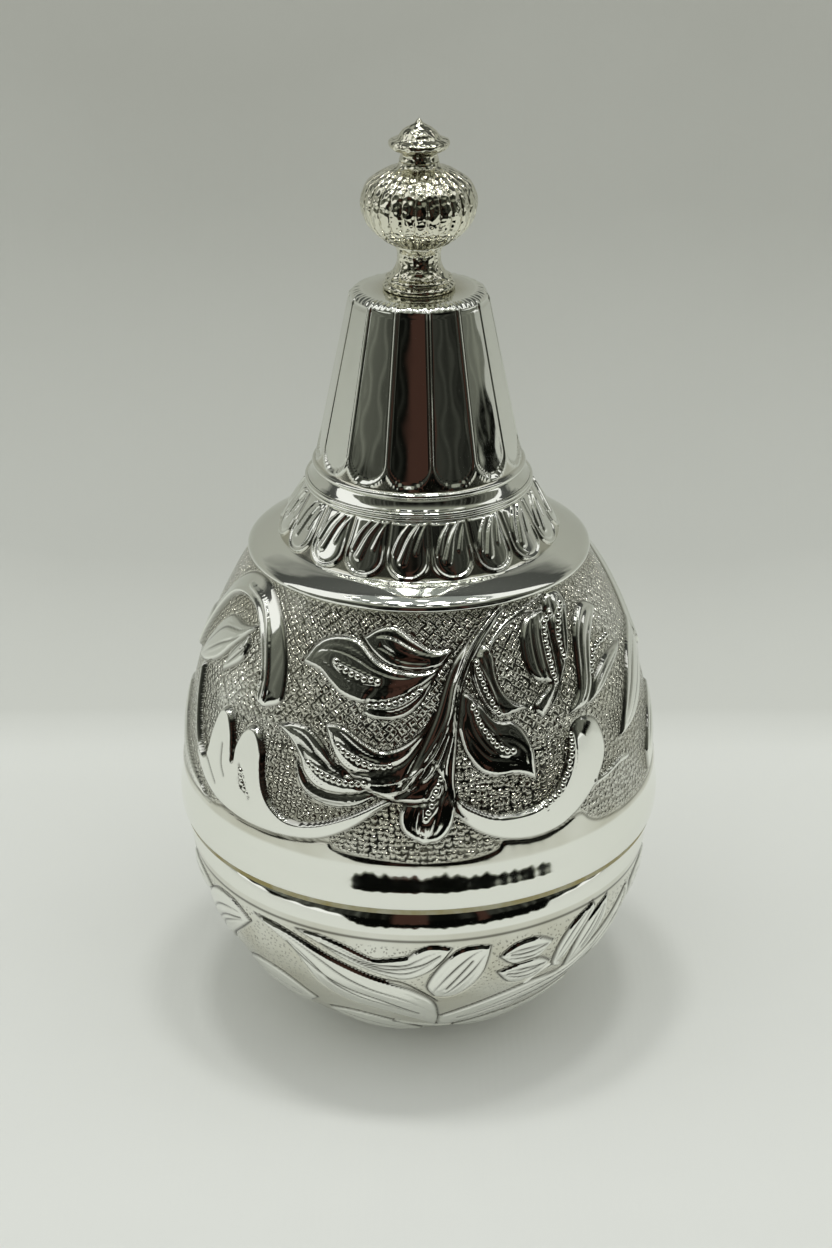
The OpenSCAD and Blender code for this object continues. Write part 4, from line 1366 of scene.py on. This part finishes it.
@dataclass
class Dome(ReliefShell):
    """The lid's domed skirt: a plain band at the edge, then scrolls and leaves to the top.

    Its side is part of an ellipse, with its middle at the height centre. Rise and radius are
    half its height and half its width. The relief lies between the heights low and high.
    """

    centre: float = 38.0
    rise: float = 62.5
    radius: float = 39.6
    sheet: float = 0.8
    low: float = 47.6
    high: float = 84.6

    def profile(self) -> tuple[np.ndarray, int, int]:
        """Draw the profile.

        Returns:
            The closed profile, and the first and last row of the relief.
        """
        band = np.vstack([
            [[38.98, 39.85], [39.1, 39.87]],
            spline([(39.35, 40.0), (39.56, 40.4), (39.66, 41.1), (39.7, 41.9), (39.7, 42.6), (39.66, 43.2),
                    (39.56, 43.8), (39.44, 44.5), (39.3, 45.3), (39.2, 46.1), (39.14, 46.9)], 3),
        ])  # fmt: skip
        first, last = (reach_angle(z, self.centre, self.rise) for z in (self.low, self.high))
        side = arc((0, self.centre), self.radius, self.rise, first, last, 150)
        lip_r = side[-1, 0]
        lip = [[lip_r, 85.0], [lip_r, 85.36], [lip_r - 0.05, 85.4]]
        lip += [[lip_r - 0.75, 85.4], [lip_r - self.sheet, 85.3]]
        inner = arc((0, self.centre), self.radius - self.sheet, self.rise - self.sheet, last, first, 22)
        close = [[38.9, 45.1], [38.9, 43.5], [38.5, 41.2], [38.2, 39.9], [38.3, 39.85]]
        return np.vstack([band, side, lip, inner, close]), len(band), len(band) + len(side) - 1

    def chase(self, sheet: Chasing) -> None:
        """Work scrolls, leaves, stems and matting into one half of the dome.

        Args:
            sheet: The plain sheet.
        """
        for outer, inner in DOME_BANDS:
            sheet.band(outer, inner)
        for upper, lower in DOME_LEAVES:
            sheet.lobe(upper, lower)
            sheet.fold(upper, lower, 0.3)
            sheet.fold(upper, lower, 0.68, 0.1)
        for upper, lower in DOME_TRUNK:
            sheet.lobe(upper, lower, 0.34, 2.0, 0.14, 0.26)
        for path in DOME_STEMS:
            sheet.ridge(path, 0.5, 0.2)
            sheet.groove([(turn + 0.9, z) for turn, z in path], 0.18, 0.1)
        for path in DOME_BEADS:
            sheet.vein(path)
        for path in DOME_RIDGES:
            sheet.ridge(path, 0.9, 0.3)
        for path in DOME_LINES:
            sheet.groove(path)
        sheet.groove(DOME_PLAIN, 0.3, 0.12)
        plain = spline(DOME_PLAIN, 5)
        floor = np.interp(sheet.theta, plain[:, 0], plain[:, 1])
        above = smoothstep(0.2, 0.7, sheet.z[None, :] - floor[:, None])
        sheet.mat(above * smoothstep(self.high, 83.6, sheet.z)[None, :])
        sheet.height *= smoothstep(self.low, 48.2, sheet.z) * smoothstep(84.5, 83.4, sheet.z)
        sheet.height = np.minimum(sheet.height, 39.66 - sheet.radius)

    def after(self, turning: Turning, rows: slice) -> None:
        """Set the beads along the leaves' veins.

        Args:
            turning: The dome's turned mesh.
            rows: The rows of its relief.
        """
        z = turning.profile[rows, 1]
        points, edges, outward = [], [], []
        for path in DOME_BEADS:
            line = spline(path, 6)
            for turn in (0.0, 180.0):
                column = (line[:, 0] + turn + 180) / 360 * self.columns
                row = np.interp(line[:, 1], z, np.arange(len(z)))
                i, j = np.round(column).astype(int) % self.columns, np.round(row).astype(int)
                start = len(points)
                points += turning.points[:, rows][i, j].tolist()
                outward += turning.normals[:, rows][i, j].tolist()
                edges += [(k, k + 1) for k in range(start, len(points) - 1)]
        mesh = bpy.data.meshes.new("veins")
        mesh.from_pydata((np.array(points) * MM).tolist(), edges, [])
        layer = mesh.attributes.new("outward", "FLOAT_VECTOR", "POINT")
        layer.data.foreach_set("vector", np.array(outward, np.float32).ravel())
        finish = self.finish.make()
        sizes = {"Pitch": 0.98 * MM, "Bead radius": 0.54 * MM, "Squash": 0.8, "Finish": finish}
        beads = bake_nodes(place_mesh("veins", mesh), beads_on_veins(), sizes, "dome_beads")
        finish_piece(beads, self.body, finish)


@dataclass
class Bowl(ReliefShell):
    """The bowl: a hemisphere with a flat foot, leaves all over and a plain band at the mouth.

    Its side is part of an ellipse, with its middle at the height centre. Drop and radius are
    half its height and half its width. At the height wide_z the shoulder turns in, along a
    quarter of an ellipse of shoulder_r by shoulder_z.
    """

    centre: float = 38.4
    drop: float = 39.3
    radius: float = 38.35
    sheet: float = 0.8
    wide_z: float = 34.6
    mouth_z: float = 39.0
    shoulder_r: float = 2.6
    shoulder_z: float = 4.6

    def profile(self) -> tuple[np.ndarray, int, int]:
        """Draw the profile.

        Returns:
            The closed profile, and the first and last row of the relief.
        """
        first, last = (reach_angle(z, self.centre, self.drop) for z in (1.2, self.wide_z))
        side = arc((0, self.centre), self.radius, self.drop, first, last, 172)
        hub = self.radius * math.cos(math.radians(last)) - self.shoulder_r
        top = reach_angle(self.mouth_z, self.wide_z, self.shoulder_z)
        shoulder = arc((hub, self.wide_z), self.shoulder_r, self.shoulder_z, 5, top, 12)
        foot = [[0, 0], [4, 0], [8, 0], [10.2, 0], [10.4, 0.01], [10.6, 0.05], [11.0, 0.18], [11.4, 0.36]]
        ledge = [[hub - 0.4, self.mouth_z], [35.7, self.mouth_z], [35.6, 38.95], [35.6, 38.25]]
        thin_r, thin_z = self.shoulder_r - self.sheet, self.shoulder_z - self.sheet
        inner_shoulder = arc((hub, self.wide_z), thin_r, thin_z, top, 8, 6)
        inner = arc((0, self.centre), self.radius - self.sheet, self.drop - self.sheet, last, first, 24)
        close = [[10.4, 0.8], [5, 0.8], [0, 0.8]]
        outline = np.vstack([foot, side, shoulder, ledge, inner_shoulder, inner, close])
        return outline, len(foot), len(foot) + len(side) - 1

    def chase(self, sheet: Chasing) -> None:
        """Work leaves, lines and matting into one half of the bowl.

        Args:
            sheet: The plain sheet.
        """
        for upper, lower in BOWL_LEAVES:
            sheet.lobe(upper, lower, 0.5, 3.2, 0.2, 0.3)
            sheet.fold(upper, lower, 0.3, 0.16)
            sheet.fold(upper, lower, 0.66, 0.13)
        for path in BOWL_RIDGES:
            sheet.ridge(path, 0.8, 0.24)
        for path in BOWL_LINES:
            sheet.groove(path, 0.25, 0.24)
        sheet.groove([(turn, 33.4) for turn in (-90, -45, 0, 45, 90)], 0.28, 0.1)
        sheet.mat(0.8 * smoothstep(33.3, 31.5, sheet.z) * smoothstep(14, 26, sheet.z), 0.04)
        sheet.height *= smoothstep(2.0, 5.0, sheet.z) * smoothstep(34.5, 33.6, sheet.z)


@dataclass
class Gore:
    """A turned piece made of one gore that is repeated round the axis.

    Attributes:
        name: The piece's name.
        node: The CAD node that it stands for.
        slot: The record's material slot. Not used.
        finish: Its finish.
        count: Number of gores.
        middle: Angle of one gore's middle from the front, degrees.
        columns: Columns in one gore.
    """

    name: str
    node: str
    slot: str
    finish: SilverPlate
    count: int
    middle: float
    columns: int

    def profile(self) -> np.ndarray:
        """Draw the profile.

        Returns:
            The closed profile, up the outside and then down the inside.
        """
        raise NotImplementedError

    def lift(self, phi: np.ndarray, points: np.ndarray) -> tuple[np.ndarray, np.ndarray]:
        """Give the relief and the recess attribute at each angle and profile point.

        Args:
            phi: Angle from the gore's middle, degrees, one row.
            points: The profile.

        Returns:
            Height over the profile, millimetres, and how deep in a hollow it lies, 0 to 1.
        """
        raise NotImplementedError

    def build(self) -> None:
        """Make the piece."""
        points, step = self.profile(), 360 / self.count
        turning = Turning(points, -step / 2, step, self.columns)
        lift, recess = self.lift(np.degrees(turning.angles)[:, None], points)
        turning.swing(lift)
        gore = turning.part(self.name + "_gore", 0, self.columns, {"recess": recess}, ends=False)
        finish = self.finish.make()
        sizes = {"Count": self.count, "First turn": math.radians(self.middle), "Finish": finish}
        piece = bake_nodes(gore, round_the_axis(), sizes, self.name)
        finish_piece(piece, Body.LID, finish, (self.node,))


@dataclass
class GadroonCollar(Gore):
    """Stepped collar under the neck: rolled plain band, row of gadroon lobes and throat.

    The lobes lie on a cone from low_r at the height low_z up to high_r at high_z.
    """

    low_z: float = 87.4
    high_z: float = 95.3
    low_r: float = 22.4
    high_r: float = 17.6

    def profile(self) -> np.ndarray:
        """Draw the profile.

        Returns:
            The closed profile.
        """
        roll = spline([
            (27.2, 84.6), (27.3, 84.9), (27.15, 85.35), (26.6, 85.85), (25.7, 86.3), (24.7, 86.7),
            (23.7, 87.05), (22.9, 87.25), (22.5, 87.36),
        ], 3)  # fmt: skip
        lobes_z = np.linspace(self.low_z, self.high_z, 48)
        slope = (self.low_r - self.high_r) / (self.high_z - self.low_z)
        lobes = np.stack([self.low_r - slope * (lobes_z - self.low_z), lobes_z], 1)
        step = [[17.15, 95.32], [17.1, 95.4], [17.1, 96.6], [17.2, 96.65], [17.45, 96.65], [17.5, 96.72]]
        throat_z = np.linspace(96.9, 98.2, 6)
        throat = np.stack([17.5 - 1.2 * ((throat_z - 96.65) / 1.75) ** 0.8, throat_z], 1)
        top = [[16.2, 98.4], [15.35, 98.4], [15.3, 98.46], [14.95, 100.6]]
        inner = [[14.15, 100.6], [14.5, 98.4], [16.3, 96.65], [16.3, 95.1], [16.8, 94.6],
                 [21.9, 86.76], [25.2, 85.9], [26.42, 85.42], [26.42, 84.62], [26.6, 84.6]]  # fmt: skip
        return np.vstack([roll, lobes, step, throat, top, inner])

    def lift(self, phi: np.ndarray, points: np.ndarray) -> tuple[np.ndarray, np.ndarray]:
        """Give the relief of one lobe, with its three tapered strokes.

        Args:
            phi: Angle from the lobe's middle, degrees, one row.
            points: The profile.

        Returns:
            Height over the profile, millimetres, and how deep in a hollow it lies, 0 to 1.
        """
        radius, z = points[None, :, 0], points[None, :, 1]
        slant = math.hypot(self.high_z - self.low_z, self.low_r - self.high_r) / (self.high_z - self.low_z)
        up = (z - self.low_z) * slant
        aside = np.radians(phi) * radius
        half = math.pi * radius / self.count - 0.34
        root = 0.3 + half
        inward = half - np.where(up < root, np.hypot(aside, up - root), np.abs(aside))
        lower = 0.25 + 0.75 * smoothstep(5.6, 3.4, up)
        rise = 0.2 * quarter_round(inward / 1.2) + 0.24 * lower * bell(inward - 0.02, 0.22)
        rise -= 0.14 * lower * bell(inward - 0.48, 0.2)
        rise -= 0.10 * smoothstep(0.0, 0.5, -inward) * smoothstep(4.5, 2.0, up)
        # Each stroke: start, bend and tip in degrees and height, then its width and height.
        for start, bend, tip, wide, tall in (
            ((-2.4, 90.0), (0.6, 92.9), (4.6, 94.9), 0.62, 0.30),
            ((-6.0, 90.9), (-3.6, 93.2), (0.4, 95.0), 0.44, 0.22),
            ((3.4, 91.2), (5.0, 92.9), (7.0, 94.4), 0.30, 0.15),
        ):
            line = [(math.radians(turn), q - self.low_z) for turn, q in spline([start, bend, tip], 24)]
            far, along = nearest([np.hypot(aside - turn * radius, up - q * slant) for turn, q in line])
            thick = wide * (1.15 - 0.95 * along)
            rise += tall * np.sqrt(np.clip(1 - (far / np.maximum(thick, 0.08)) ** 2, 0, 1))
        rise *= smoothstep(self.low_z, self.low_z + 0.4, z) * smoothstep(self.high_z, 94.8, z)
        band = (z > self.low_z + 0.02) & (z < self.high_z + 0.01)
        band &= (radius > self.high_r - 0.1) & (radius < 22.5)
        recess = np.where(band, smoothstep(0.15, -0.4, inward) * 0.9, 0.08)
        return np.where(band, rise, 0.0), recess


@dataclass
class Neck(Gore):
    """Tapered neck, chased with flat round-ended tongues and doubled lines between them."""

    foot_z: float = 98.4
    tall: float = 28.2
    foot_r: float = 16.45
    top_r: float = 10.5

    def cone(self, z: np.ndarray | float) -> np.ndarray | float:
        """Radius of the neck's cone at a height."""
        return self.foot_r - (z - self.foot_z) * (self.foot_r - self.top_r) / self.tall

    def profile(self) -> np.ndarray:
        """Draw the profile.

        Returns:
            The closed profile.
        """
        side_z = np.linspace(99.3, 125.3, 78)
        side = np.stack([self.cone(side_z), side_z], 1)
        bead = arc((16.42, 98.82), 0.42, 0.42, -85, 60, 8)
        edge = arc((self.cone(125.3) - 2.3, 125.3), 2.3, 1.3, 15, 90, 9)
        top = [[7.6, 126.6], [6, 126.58], [5, 126.6], [1.7, 126.6], [1.6, 126.5], [1.6, 125.7], [1.7, 125.6]]
        inner = [[7.8, 125.6], [9.6, 124.6], [14.95, 100.6], [15.3, 98.43], [15.35, 98.4]]
        return np.vstack([bead, side, edge, top, inner])

    def lift(self, phi: np.ndarray, points: np.ndarray) -> tuple[np.ndarray, np.ndarray]:
        """Give the relief of one tongue and of the ridges on its two sides.

        Args:
            phi: Angle from the tongue's middle, degrees, one row.
            points: The profile.

        Returns:
            Height over the profile, millimetres, and how deep in a hollow it lies, 0 to 1.
        """
        radius, z = points[None, :, 0], points[None, :, 1]
        turn = np.radians(phi)
        slant = math.hypot(self.tall, self.foot_r - self.top_r) / self.tall
        up = (z - self.foot_z) * slant
        aside = turn * radius
        half = math.pi * radius / self.count - 0.12
        root = 1.7 + half
        inward = half - np.where(up < root, np.hypot(aside, up - root), np.abs(aside))
        foot = smoothstep(root + 0.6, root - 1.4, up)
        # A flat tongue would lie on the chord between its edges. These come 0.62 of the way to it.
        chord = np.sqrt(radius**2 - np.minimum(half, radius * 0.9) ** 2) - 0.06
        rise = 0.62 * (chord / np.cos(turn) - radius) * smoothstep(-0.05, 0.3, inward)
        rise += (0.05 + 0.07 * foot) * bell(inward + 0.02, 0.13)
        rise += 0.10 * foot * bell(inward + 0.42, 0.13)
        rise -= 0.05 * bell(inward - 0.22, 0.11)
        rise += 0.016 * np.sin(0.62 * z) * np.cos(aside) * smoothstep(0.3, 1.2, inward)
        rise *= smoothstep(99.3, 99.7, z)
        dents = 0.05 * np.sin(turn * 28) * np.sin(3.1 * radius) + 0.03 * np.sin(turn * 70)
        dents = dents * smoothstep(8.5, 9.2, radius) * smoothstep(10.7, 10.2, radius)
        side = (z > 99.25) & (z < 125.35) & (radius > 10.6)
        edge = (z > 125.28) & (radius > 8.5)
        plate = (z > 126.3) & (radius < 8.6)
        rim = rise * smoothstep(10.0, 10.75, radius) + dents
        lift = np.where(side, rise, 0.0) + np.where(edge, rim, 0.0)
        recess = np.where(side, smoothstep(-0.2, -0.9, inward), 0.05)
        # The flat top round the finial's foot takes the film colour, more of it towards the middle.
        return lift, np.where(plate, 0.35 + 0.65 * smoothstep(8.5, 5.5, radius), recess)


@dataclass
class MelonBall(Gore):
    """Melon-shaped ball of the finial, with fine hammered ribs."""

    def profile(self) -> np.ndarray:
        """Draw the profile.

        Returns:
            The closed profile.
        """
        outside = spline([
            (4.1, 133.62), (4.98, 133.96), (6.93, 135.5), (8.12, 137.04), (8.7, 138.57), (8.88, 140.1),
            (8.5, 141.62), (7.61, 143.14), (5.21, 144.65), (3.57, 145.25), (3.12, 145.7), (3.0, 146.06),
        ], 6)  # fmt: skip
        return np.vstack([[[1.6, 133.6], [3.3, 133.6]], outside, [[2.9, 146.1], [1.6, 146.1]]])

    def lift(self, phi: np.ndarray, points: np.ndarray) -> tuple[np.ndarray, np.ndarray]:
        """Give the relief of one rib.

        Args:
            phi: Angle from the rib's middle, degrees, one row.
            points: The profile.

        Returns:
            Height over the profile, millimetres, and how deep in a hollow it lies, 0 to 1.
        """
        radius, z = points[None, :, 0], points[None, :, 1]
        aside = np.abs(phi) / (180 / self.count)
        depth = 0.22 * smoothstep(3.4, 5.6, radius)
        rise = -depth * (1 - np.sqrt(np.clip(1 - aside**2.4, 0, 1)))
        outer = (radius > 3.2) & (z > 133.7) & (z < 146.0)
        return np.where(outer, rise, 0.0), np.where(outer, smoothstep(0.6, 1.0, aside), 0.1)


@dataclass
class TurnedPiece:
    """A plain turned piece.

    Attributes:
        name: The piece's name.
        node: The CAD node that it stands for.
        slot: The record's material slot. Not used.
        finish: Its finish.
        outline: The closed profile.
        bore: Radius just over the stud's hole, within which no hammer reaches, millimetres.
        columns: Columns round the whole turn.
    """

    name: str
    node: str
    slot: str
    finish: SilverPlate
    outline: np.ndarray
    bore: float = 1.75
    columns: int = 128

    def build(self) -> None:
        """Make the piece."""
        turning = Turning(self.outline, 0.0, 360.0, self.columns)
        lift = hammer_wobble(turning.angles[:, None], self.outline[None, :, 1] * 2.2, 0.02, 8)
        turning.swing(np.where(self.outline[None, :, 0] < self.bore, 0.0, lift))
        piece = turning.part(self.name, 0, self.columns)
        finish_piece(piece, Body.LID, self.finish.make(), (self.node,))


@dataclass
class WireRing:
    """Two round wires stacked round the throat, swept along a circle by Geometry Nodes.

    Attributes:
        finish: Their finish.
        radius: Radius of the circle that a wire's middle follows, millimetres.
        low: Height of the lower wire's underside.
        wire: Radius of a wire.
    """

    finish: SilverPlate
    radius: float = 17.65
    low: float = 95.3
    wire: float = 0.34

    def build(self) -> None:
        """Make the piece."""
        source = place_mesh("ring_source", bpy.data.meshes.new("ring_source"))
        finish = self.finish.make()
        sizes = {
            "Ring radius": self.radius * MM,
            "Wire radius": self.wire * MM,
            "Lowest": (self.low + self.wire) * MM,
            "Wires": 2,
            "Finish": finish,
        }
        piece = bake_nodes(source, stacked_wires(), sizes, "neck_ring_wires")
        finish_piece(piece, Body.LID, finish, ("neck_ring",))


FOOT_OUTLINE = np.vstack([
    [[1.6, 126.6], [5.2, 126.6]],
    spline([
        (5.45, 126.72), (5.56, 127.0), (5.5, 127.35), (5.2, 127.6), (4.95, 127.72), (5.1, 127.95),
        (5.16, 128.2), (5.0, 128.5), (4.5, 128.75), (4.25, 129.0), (3.95, 129.4), (3.64, 129.95),
        (3.42, 130.6), (3.33, 131.2), (3.33, 132.1), (3.5, 132.7), (3.78, 133.2), (3.85, 133.5),
    ], 4),
    [[3.75, 133.6], [1.6, 133.6]],
])  # fmt: skip
CAP_OUTLINE = np.vstack([
    [[1.52, 146.1], [2.95, 146.1]],
    spline([
        (3.0, 146.3), (2.86, 146.8), (2.84, 147.2), (3.1, 147.5), (3.7, 147.75), (4.25, 148.05),
        (4.56, 148.45), (4.62, 148.8), (4.5, 149.1), (4.1, 149.3), (3.5, 149.5), (3.1, 149.8),
        (2.75, 150.3), (2.3, 150.75), (1.7, 151.15), (1.1, 151.45), (0.65, 151.75), (0.4, 152.1),
        (0.2, 152.3),
    ], 4),
    [[0, 152.4], [0, 149.1], [1.52, 149.1]],
])  # fmt: skip


def dress_cad_nodes() -> None:
    """Give the CAD nodes that are shown as they are their finishes."""
    brass = WornBrass("worn_brass").make()
    steel = WornBrass("brushed_steel", "#8E9194", "#B4B6B8", 0.3, 0.2).make()
    silver = SilverPlate("silver_plate_collar", roughness=0.12).make()
    for name, finish in (
        ("bowl_collar", silver),
        ("lid_rim_ring", brass),
        ("finial_stud", brass),
        ("finial_washer", brass),
        ("finial_nut", steel),
    ):
        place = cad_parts[name].material_slots[0]
        place.link = "OBJECT"
        place.material = finish
        LOG.info("%s: CAD node in %s", name, finish.name)


# ---------------------------------------------------------------- studio


def stage_mesh(
    name: str, points: list, faces: list, material: bpy.types.Material, mirrored_only: bool = False
) -> bpy.types.Object:
    """Make an object of the stage.

    Args:
        name: Its name.
        points: Its points, metres.
        faces: Its faces.
        material: Its material.
        mirrored_only: Whether only reflections see it.

    Returns:
        The new object.
    """
    mesh = bpy.data.meshes.new(name)
    mesh.from_pydata(points, [], faces)
    mesh.materials.append(material)
    mesh.polygons.foreach_set("use_smooth", [True] * len(faces))
    made = place_mesh(name, mesh)
    if mirrored_only:
        made.visible_camera = False
        made.visible_diffuse = False
        made.visible_shadow = False
        made.visible_transmission = False
    return made


@dataclass
class Sweep:
    """Cloth that lies flat just under the box and curves up into the backdrop.

    It starts to curve at turn_y behind the box's axis, and bend is the curve's radius.
    """

    cloth: Cloth
    turn_y: float = 0.075
    bend: float = 0.11
    half_wide: float = 2.2
    under: float = 0.0002

    def build(self) -> None:
        """Lay the sweep, and a flat floor behind it for cameras that look from behind."""
        profile = [(-1.6, 0.0), (self.turn_y, 0.0)]
        for turn in np.linspace(0.1, math.radians(80), 14):
            rise = self.bend - self.bend * math.cos(turn)
            profile.append((self.turn_y + self.bend * math.sin(turn), rise))
        profile.append((profile[-1][0] + 0.2, profile[-1][1] + 1.13))
        points = [(x, y, z - self.under) for x in (-self.half_wide, self.half_wide) for y, z in profile]
        n = len(profile)
        faces = [(i, i + n, i + n + 1, i + 1) for i in range(n - 1)]
        cotton = self.cloth.make()
        stage_mesh("cloth", points, faces, cotton)
        wide, near, far, low = self.half_wide, 0.05, 2.4, -4 * self.under
        floor = [(-wide, near, low), (wide, near, low), (wide, far, low), (-wide, far, low)]
        stage_mesh("cloth_behind", floor, [(0, 1, 2, 3)], cotton)


@dataclass
class RoomCard:
    """Dark curved card round the camera's side of the box, painted with the room's reflection, which only
    reflections see.

    Turn is an angle round the box from the front towards +X, and tilt is an angle up from
    level as seen from the height eye_z, both in degrees. The card goes from the turn first to
    the turn last, as far off as reach, and no lower under eye_z than drop, over the cloth.
    """

    first: int = -90
    last: int = 94
    rows: int = 30
    eye_z: float = 0.1
    reach: float = 0.42
    drop: float = 0.0985

    def build(self) -> None:
        """Hang the card: its folds, its painted streaks of light and the coat."""
        turn = np.linspace(self.first, self.last, self.last - self.first + 1)
        draw = np.random.default_rng(5)
        fold = sum(
            draw.uniform(0.5, 1.0) * np.sin(np.radians(turn * waves) + draw.uniform(0, 2 * math.pi))
            for waves in (5, 9, 14, 23, 37)
        )
        streaks = np.sin(np.radians(turn * 61)) + np.sin(np.radians(turn * 89 + 40))
        aside = np.abs(turn - 8)
        centre = smoothstep(-36, -26, turn) * smoothstep(62, 52, turn)
        # The lower edge hangs deepest in front, and the upper edge comes down at both sides.
        low = -6 - 24 * centre + 1.9 * fold + 1.4 * centre * streaks
        high = 57 - 41 * smoothstep(64, 92, aside) + 2 * fold
        step = np.linspace(0, 1, self.rows)[:, None]
        tilt = low + (high - low) * step

        # The painted reflection shows the wall lighter to the sides, and black below level. Over it comes
        # the ceiling, and a pale hem runs along the lower edge.
        wall = 0.002 + 0.014 * np.clip(fold + 0.3, 0, 2) + 0.16 * smoothstep(42, 84, aside) ** 1.5
        wall += 0.05 * np.clip(streaks, 0, 1.5) * smoothstep(16, 44, aside)
        tone = 0.3 * smoothstep(38, 46, tilt) + 0.45 * (step == 0.0) + wall * (tilt > -2)
        # The coat is left of the middle, open at the waist, and its cuff is to the right.
        body = smoothstep(-13, -10, turn) * smoothstep(5, 3, turn) * (np.abs(tilt + 20) > 7.5)
        cuff = smoothstep(26, 27, turn) * smoothstep(32, 30, turn) * (tilt > -12)
        coat = 0.9 * np.maximum(body, cuff) * (tilt < 34)

        angle, up = np.radians(turn), np.radians(tilt)
        reach = np.minimum(self.reach, self.drop / np.maximum(-np.sin(up), 1e-6))
        flat, z = reach * np.cos(up), self.eye_z + reach * np.sin(up)
        points = np.stack([flat * np.sin(angle), -flat * np.cos(angle), z], 2)
        n = len(turn)
        corners = [row * n + k for row in range(self.rows - 1) for k in range(n - 1)]
        faces = [(a, a + 1, a + n + 1, a + n) for a in corners]
        room = PaintedRoomReflection("painted_room_reflection").make()
        card = stage_mesh("painted_room_reflection", points.reshape(-1, 3).tolist(), faces, room, mirrored_only=True)
        for name, values in (("tone", tone), ("coat", coat)):
            layer = card.data.attributes.new(name, "FLOAT", "POINT")
            layer.data.foreach_set("value", values.ravel().astype(np.float32))


@dataclass
class CeilingPanel:
    """Round panel over the lights that glows with a painted ceiling reflection, which only reflections see.
    """

    radius: float = 0.6
    centre_y: float = -0.12
    height: float = 1.3

    def build(self) -> None:
        """Hang the panel."""
        turns = np.radians(np.linspace(0, 360, 48, endpoint=False))
        points = [
            (self.radius * math.cos(turn), self.radius * math.sin(turn) + self.centre_y, self.height)
            for turn in turns
        ]
        grey = PaintedCeilingReflection("painted_ceiling_reflection").make()
        stage_mesh("ceiling", points, [tuple(range(len(points)))], grey, mirrored_only=True)


@dataclass
class Studio:
    """A pale cloth sweep under soft overhead light, with painted reflections of a dim room."""

    room_colour: str = "#F4F5F3"
    room_light: float = 1.05
    lamp_size: float = 0.12
    lamp_power: float = 1.3
    aim: tuple[float, float, float] = (0.0, 0.0, 0.05)
    eye: tuple[float, float, float] = (-0.00045, -0.3383, 0.2304)
    look_down: float = 25.39
    lens_mm: float = 66.35

    def lights(self) -> None:
        """Hang two soft lamps overhead and fill the room evenly."""
        world = bpy.data.worlds.new("studio")
        bpy.context.scene.world = world
        world.use_nodes = True
        air = world.node_tree.nodes["Background"].inputs
        air["Color"].default_value = linear(self.room_colour)
        air["Strength"].default_value = self.room_light
        for name, place in (
            ("overhead_left", (-0.10, -0.04, 1.0)),
            ("overhead_right", (0.12, -0.08, 1.05)),
        ):
            lamp = bpy.data.lights.new(name, "AREA")
            lamp.shape = "DISK"
            lamp.size = self.lamp_size
            lamp.energy = self.lamp_power
            holder = bpy.data.objects.new(name, lamp)
            holder.location = place
            x, y, z = np.array(self.aim) - np.array(place)
            holder.rotation_euler = (math.atan2(math.hypot(x, y), -z), 0.0, math.atan2(-x, y))
            bpy.context.scene.collection.objects.link(holder)

    def camera(self) -> None:
        """Set the camera: a long lens that looks down at the box."""
        data = bpy.data.cameras.new("camera")
        data.sensor_fit = "VERTICAL"
        data.sensor_height = 36.0
        data.lens = self.lens_mm
        data.clip_start = 0.01
        seat = bpy.data.objects.new("camera", data)
        seat.location = self.eye
        seat.rotation_euler = (math.radians(90 - self.look_down), 0.0, 0.0)
        bpy.context.scene.collection.objects.link(seat)
        bpy.context.scene.camera = seat
        bpy.context.scene.view_settings.view_transform = "Standard"

    def build(self) -> None:
        """Set up everything that isn't the box."""
        Sweep(Cloth("cotton_cloth")).build()
        RoomCard().build()
        CeilingPanel().build()
        self.lights()
        self.camera()


def main() -> None:
    """Build the box's looks and the studio."""
    logging.basicConfig(level=logging.INFO, format="%(name)s: %(message)s")
    chased = SilverPlate("silver_plate_chased", matting_mm=0.27)
    worn = SilverPlate(
        "silver_plate_bowl",
        tarnish="#3F3D34",
        matting_mm=0.07,
        punch_mm=0.8,
        pitted=True,
        grime=0.9,
        crease_gain=1.1,
    )
    polished = SilverPlate("silver_plate_polished")
    hammered = SilverPlate("silver_plate_hammered", plate="#E2E0CF", dent_mm=0.22)
    for part in (
        Bowl("bowl_shell", Body.BOWL, "bowl_shell", "bowl_silver", worn),
        Dome("lid_dome", Body.LID, "lid_dome", "dome_silver", chased),
        GadroonCollar("gadroon_band", "gadroon_collar", "gadroon_silver", polished, 19, 14.4, 46),
        WireRing(polished),
        Neck("fluted_neck_sheet", "fluted_neck", "neck_silver", polished, 14, 7.4 + 180 / 14, 64),
        TurnedPiece("finial_foot_turned", "finial_foot", "foot_silver", hammered, FOOT_OUTLINE),
        MelonBall("finial_melon", "finial_ball", "ball_silver", hammered, 28, 2.0, 14),
        TurnedPiece("finial_cap_turned", "finial_cap", "cap_silver", hammered, CAP_OUTLINE),
    ):
        part.build()
    dress_cad_nodes()
    Studio().build()


if __name__ == "__main__":
    main()
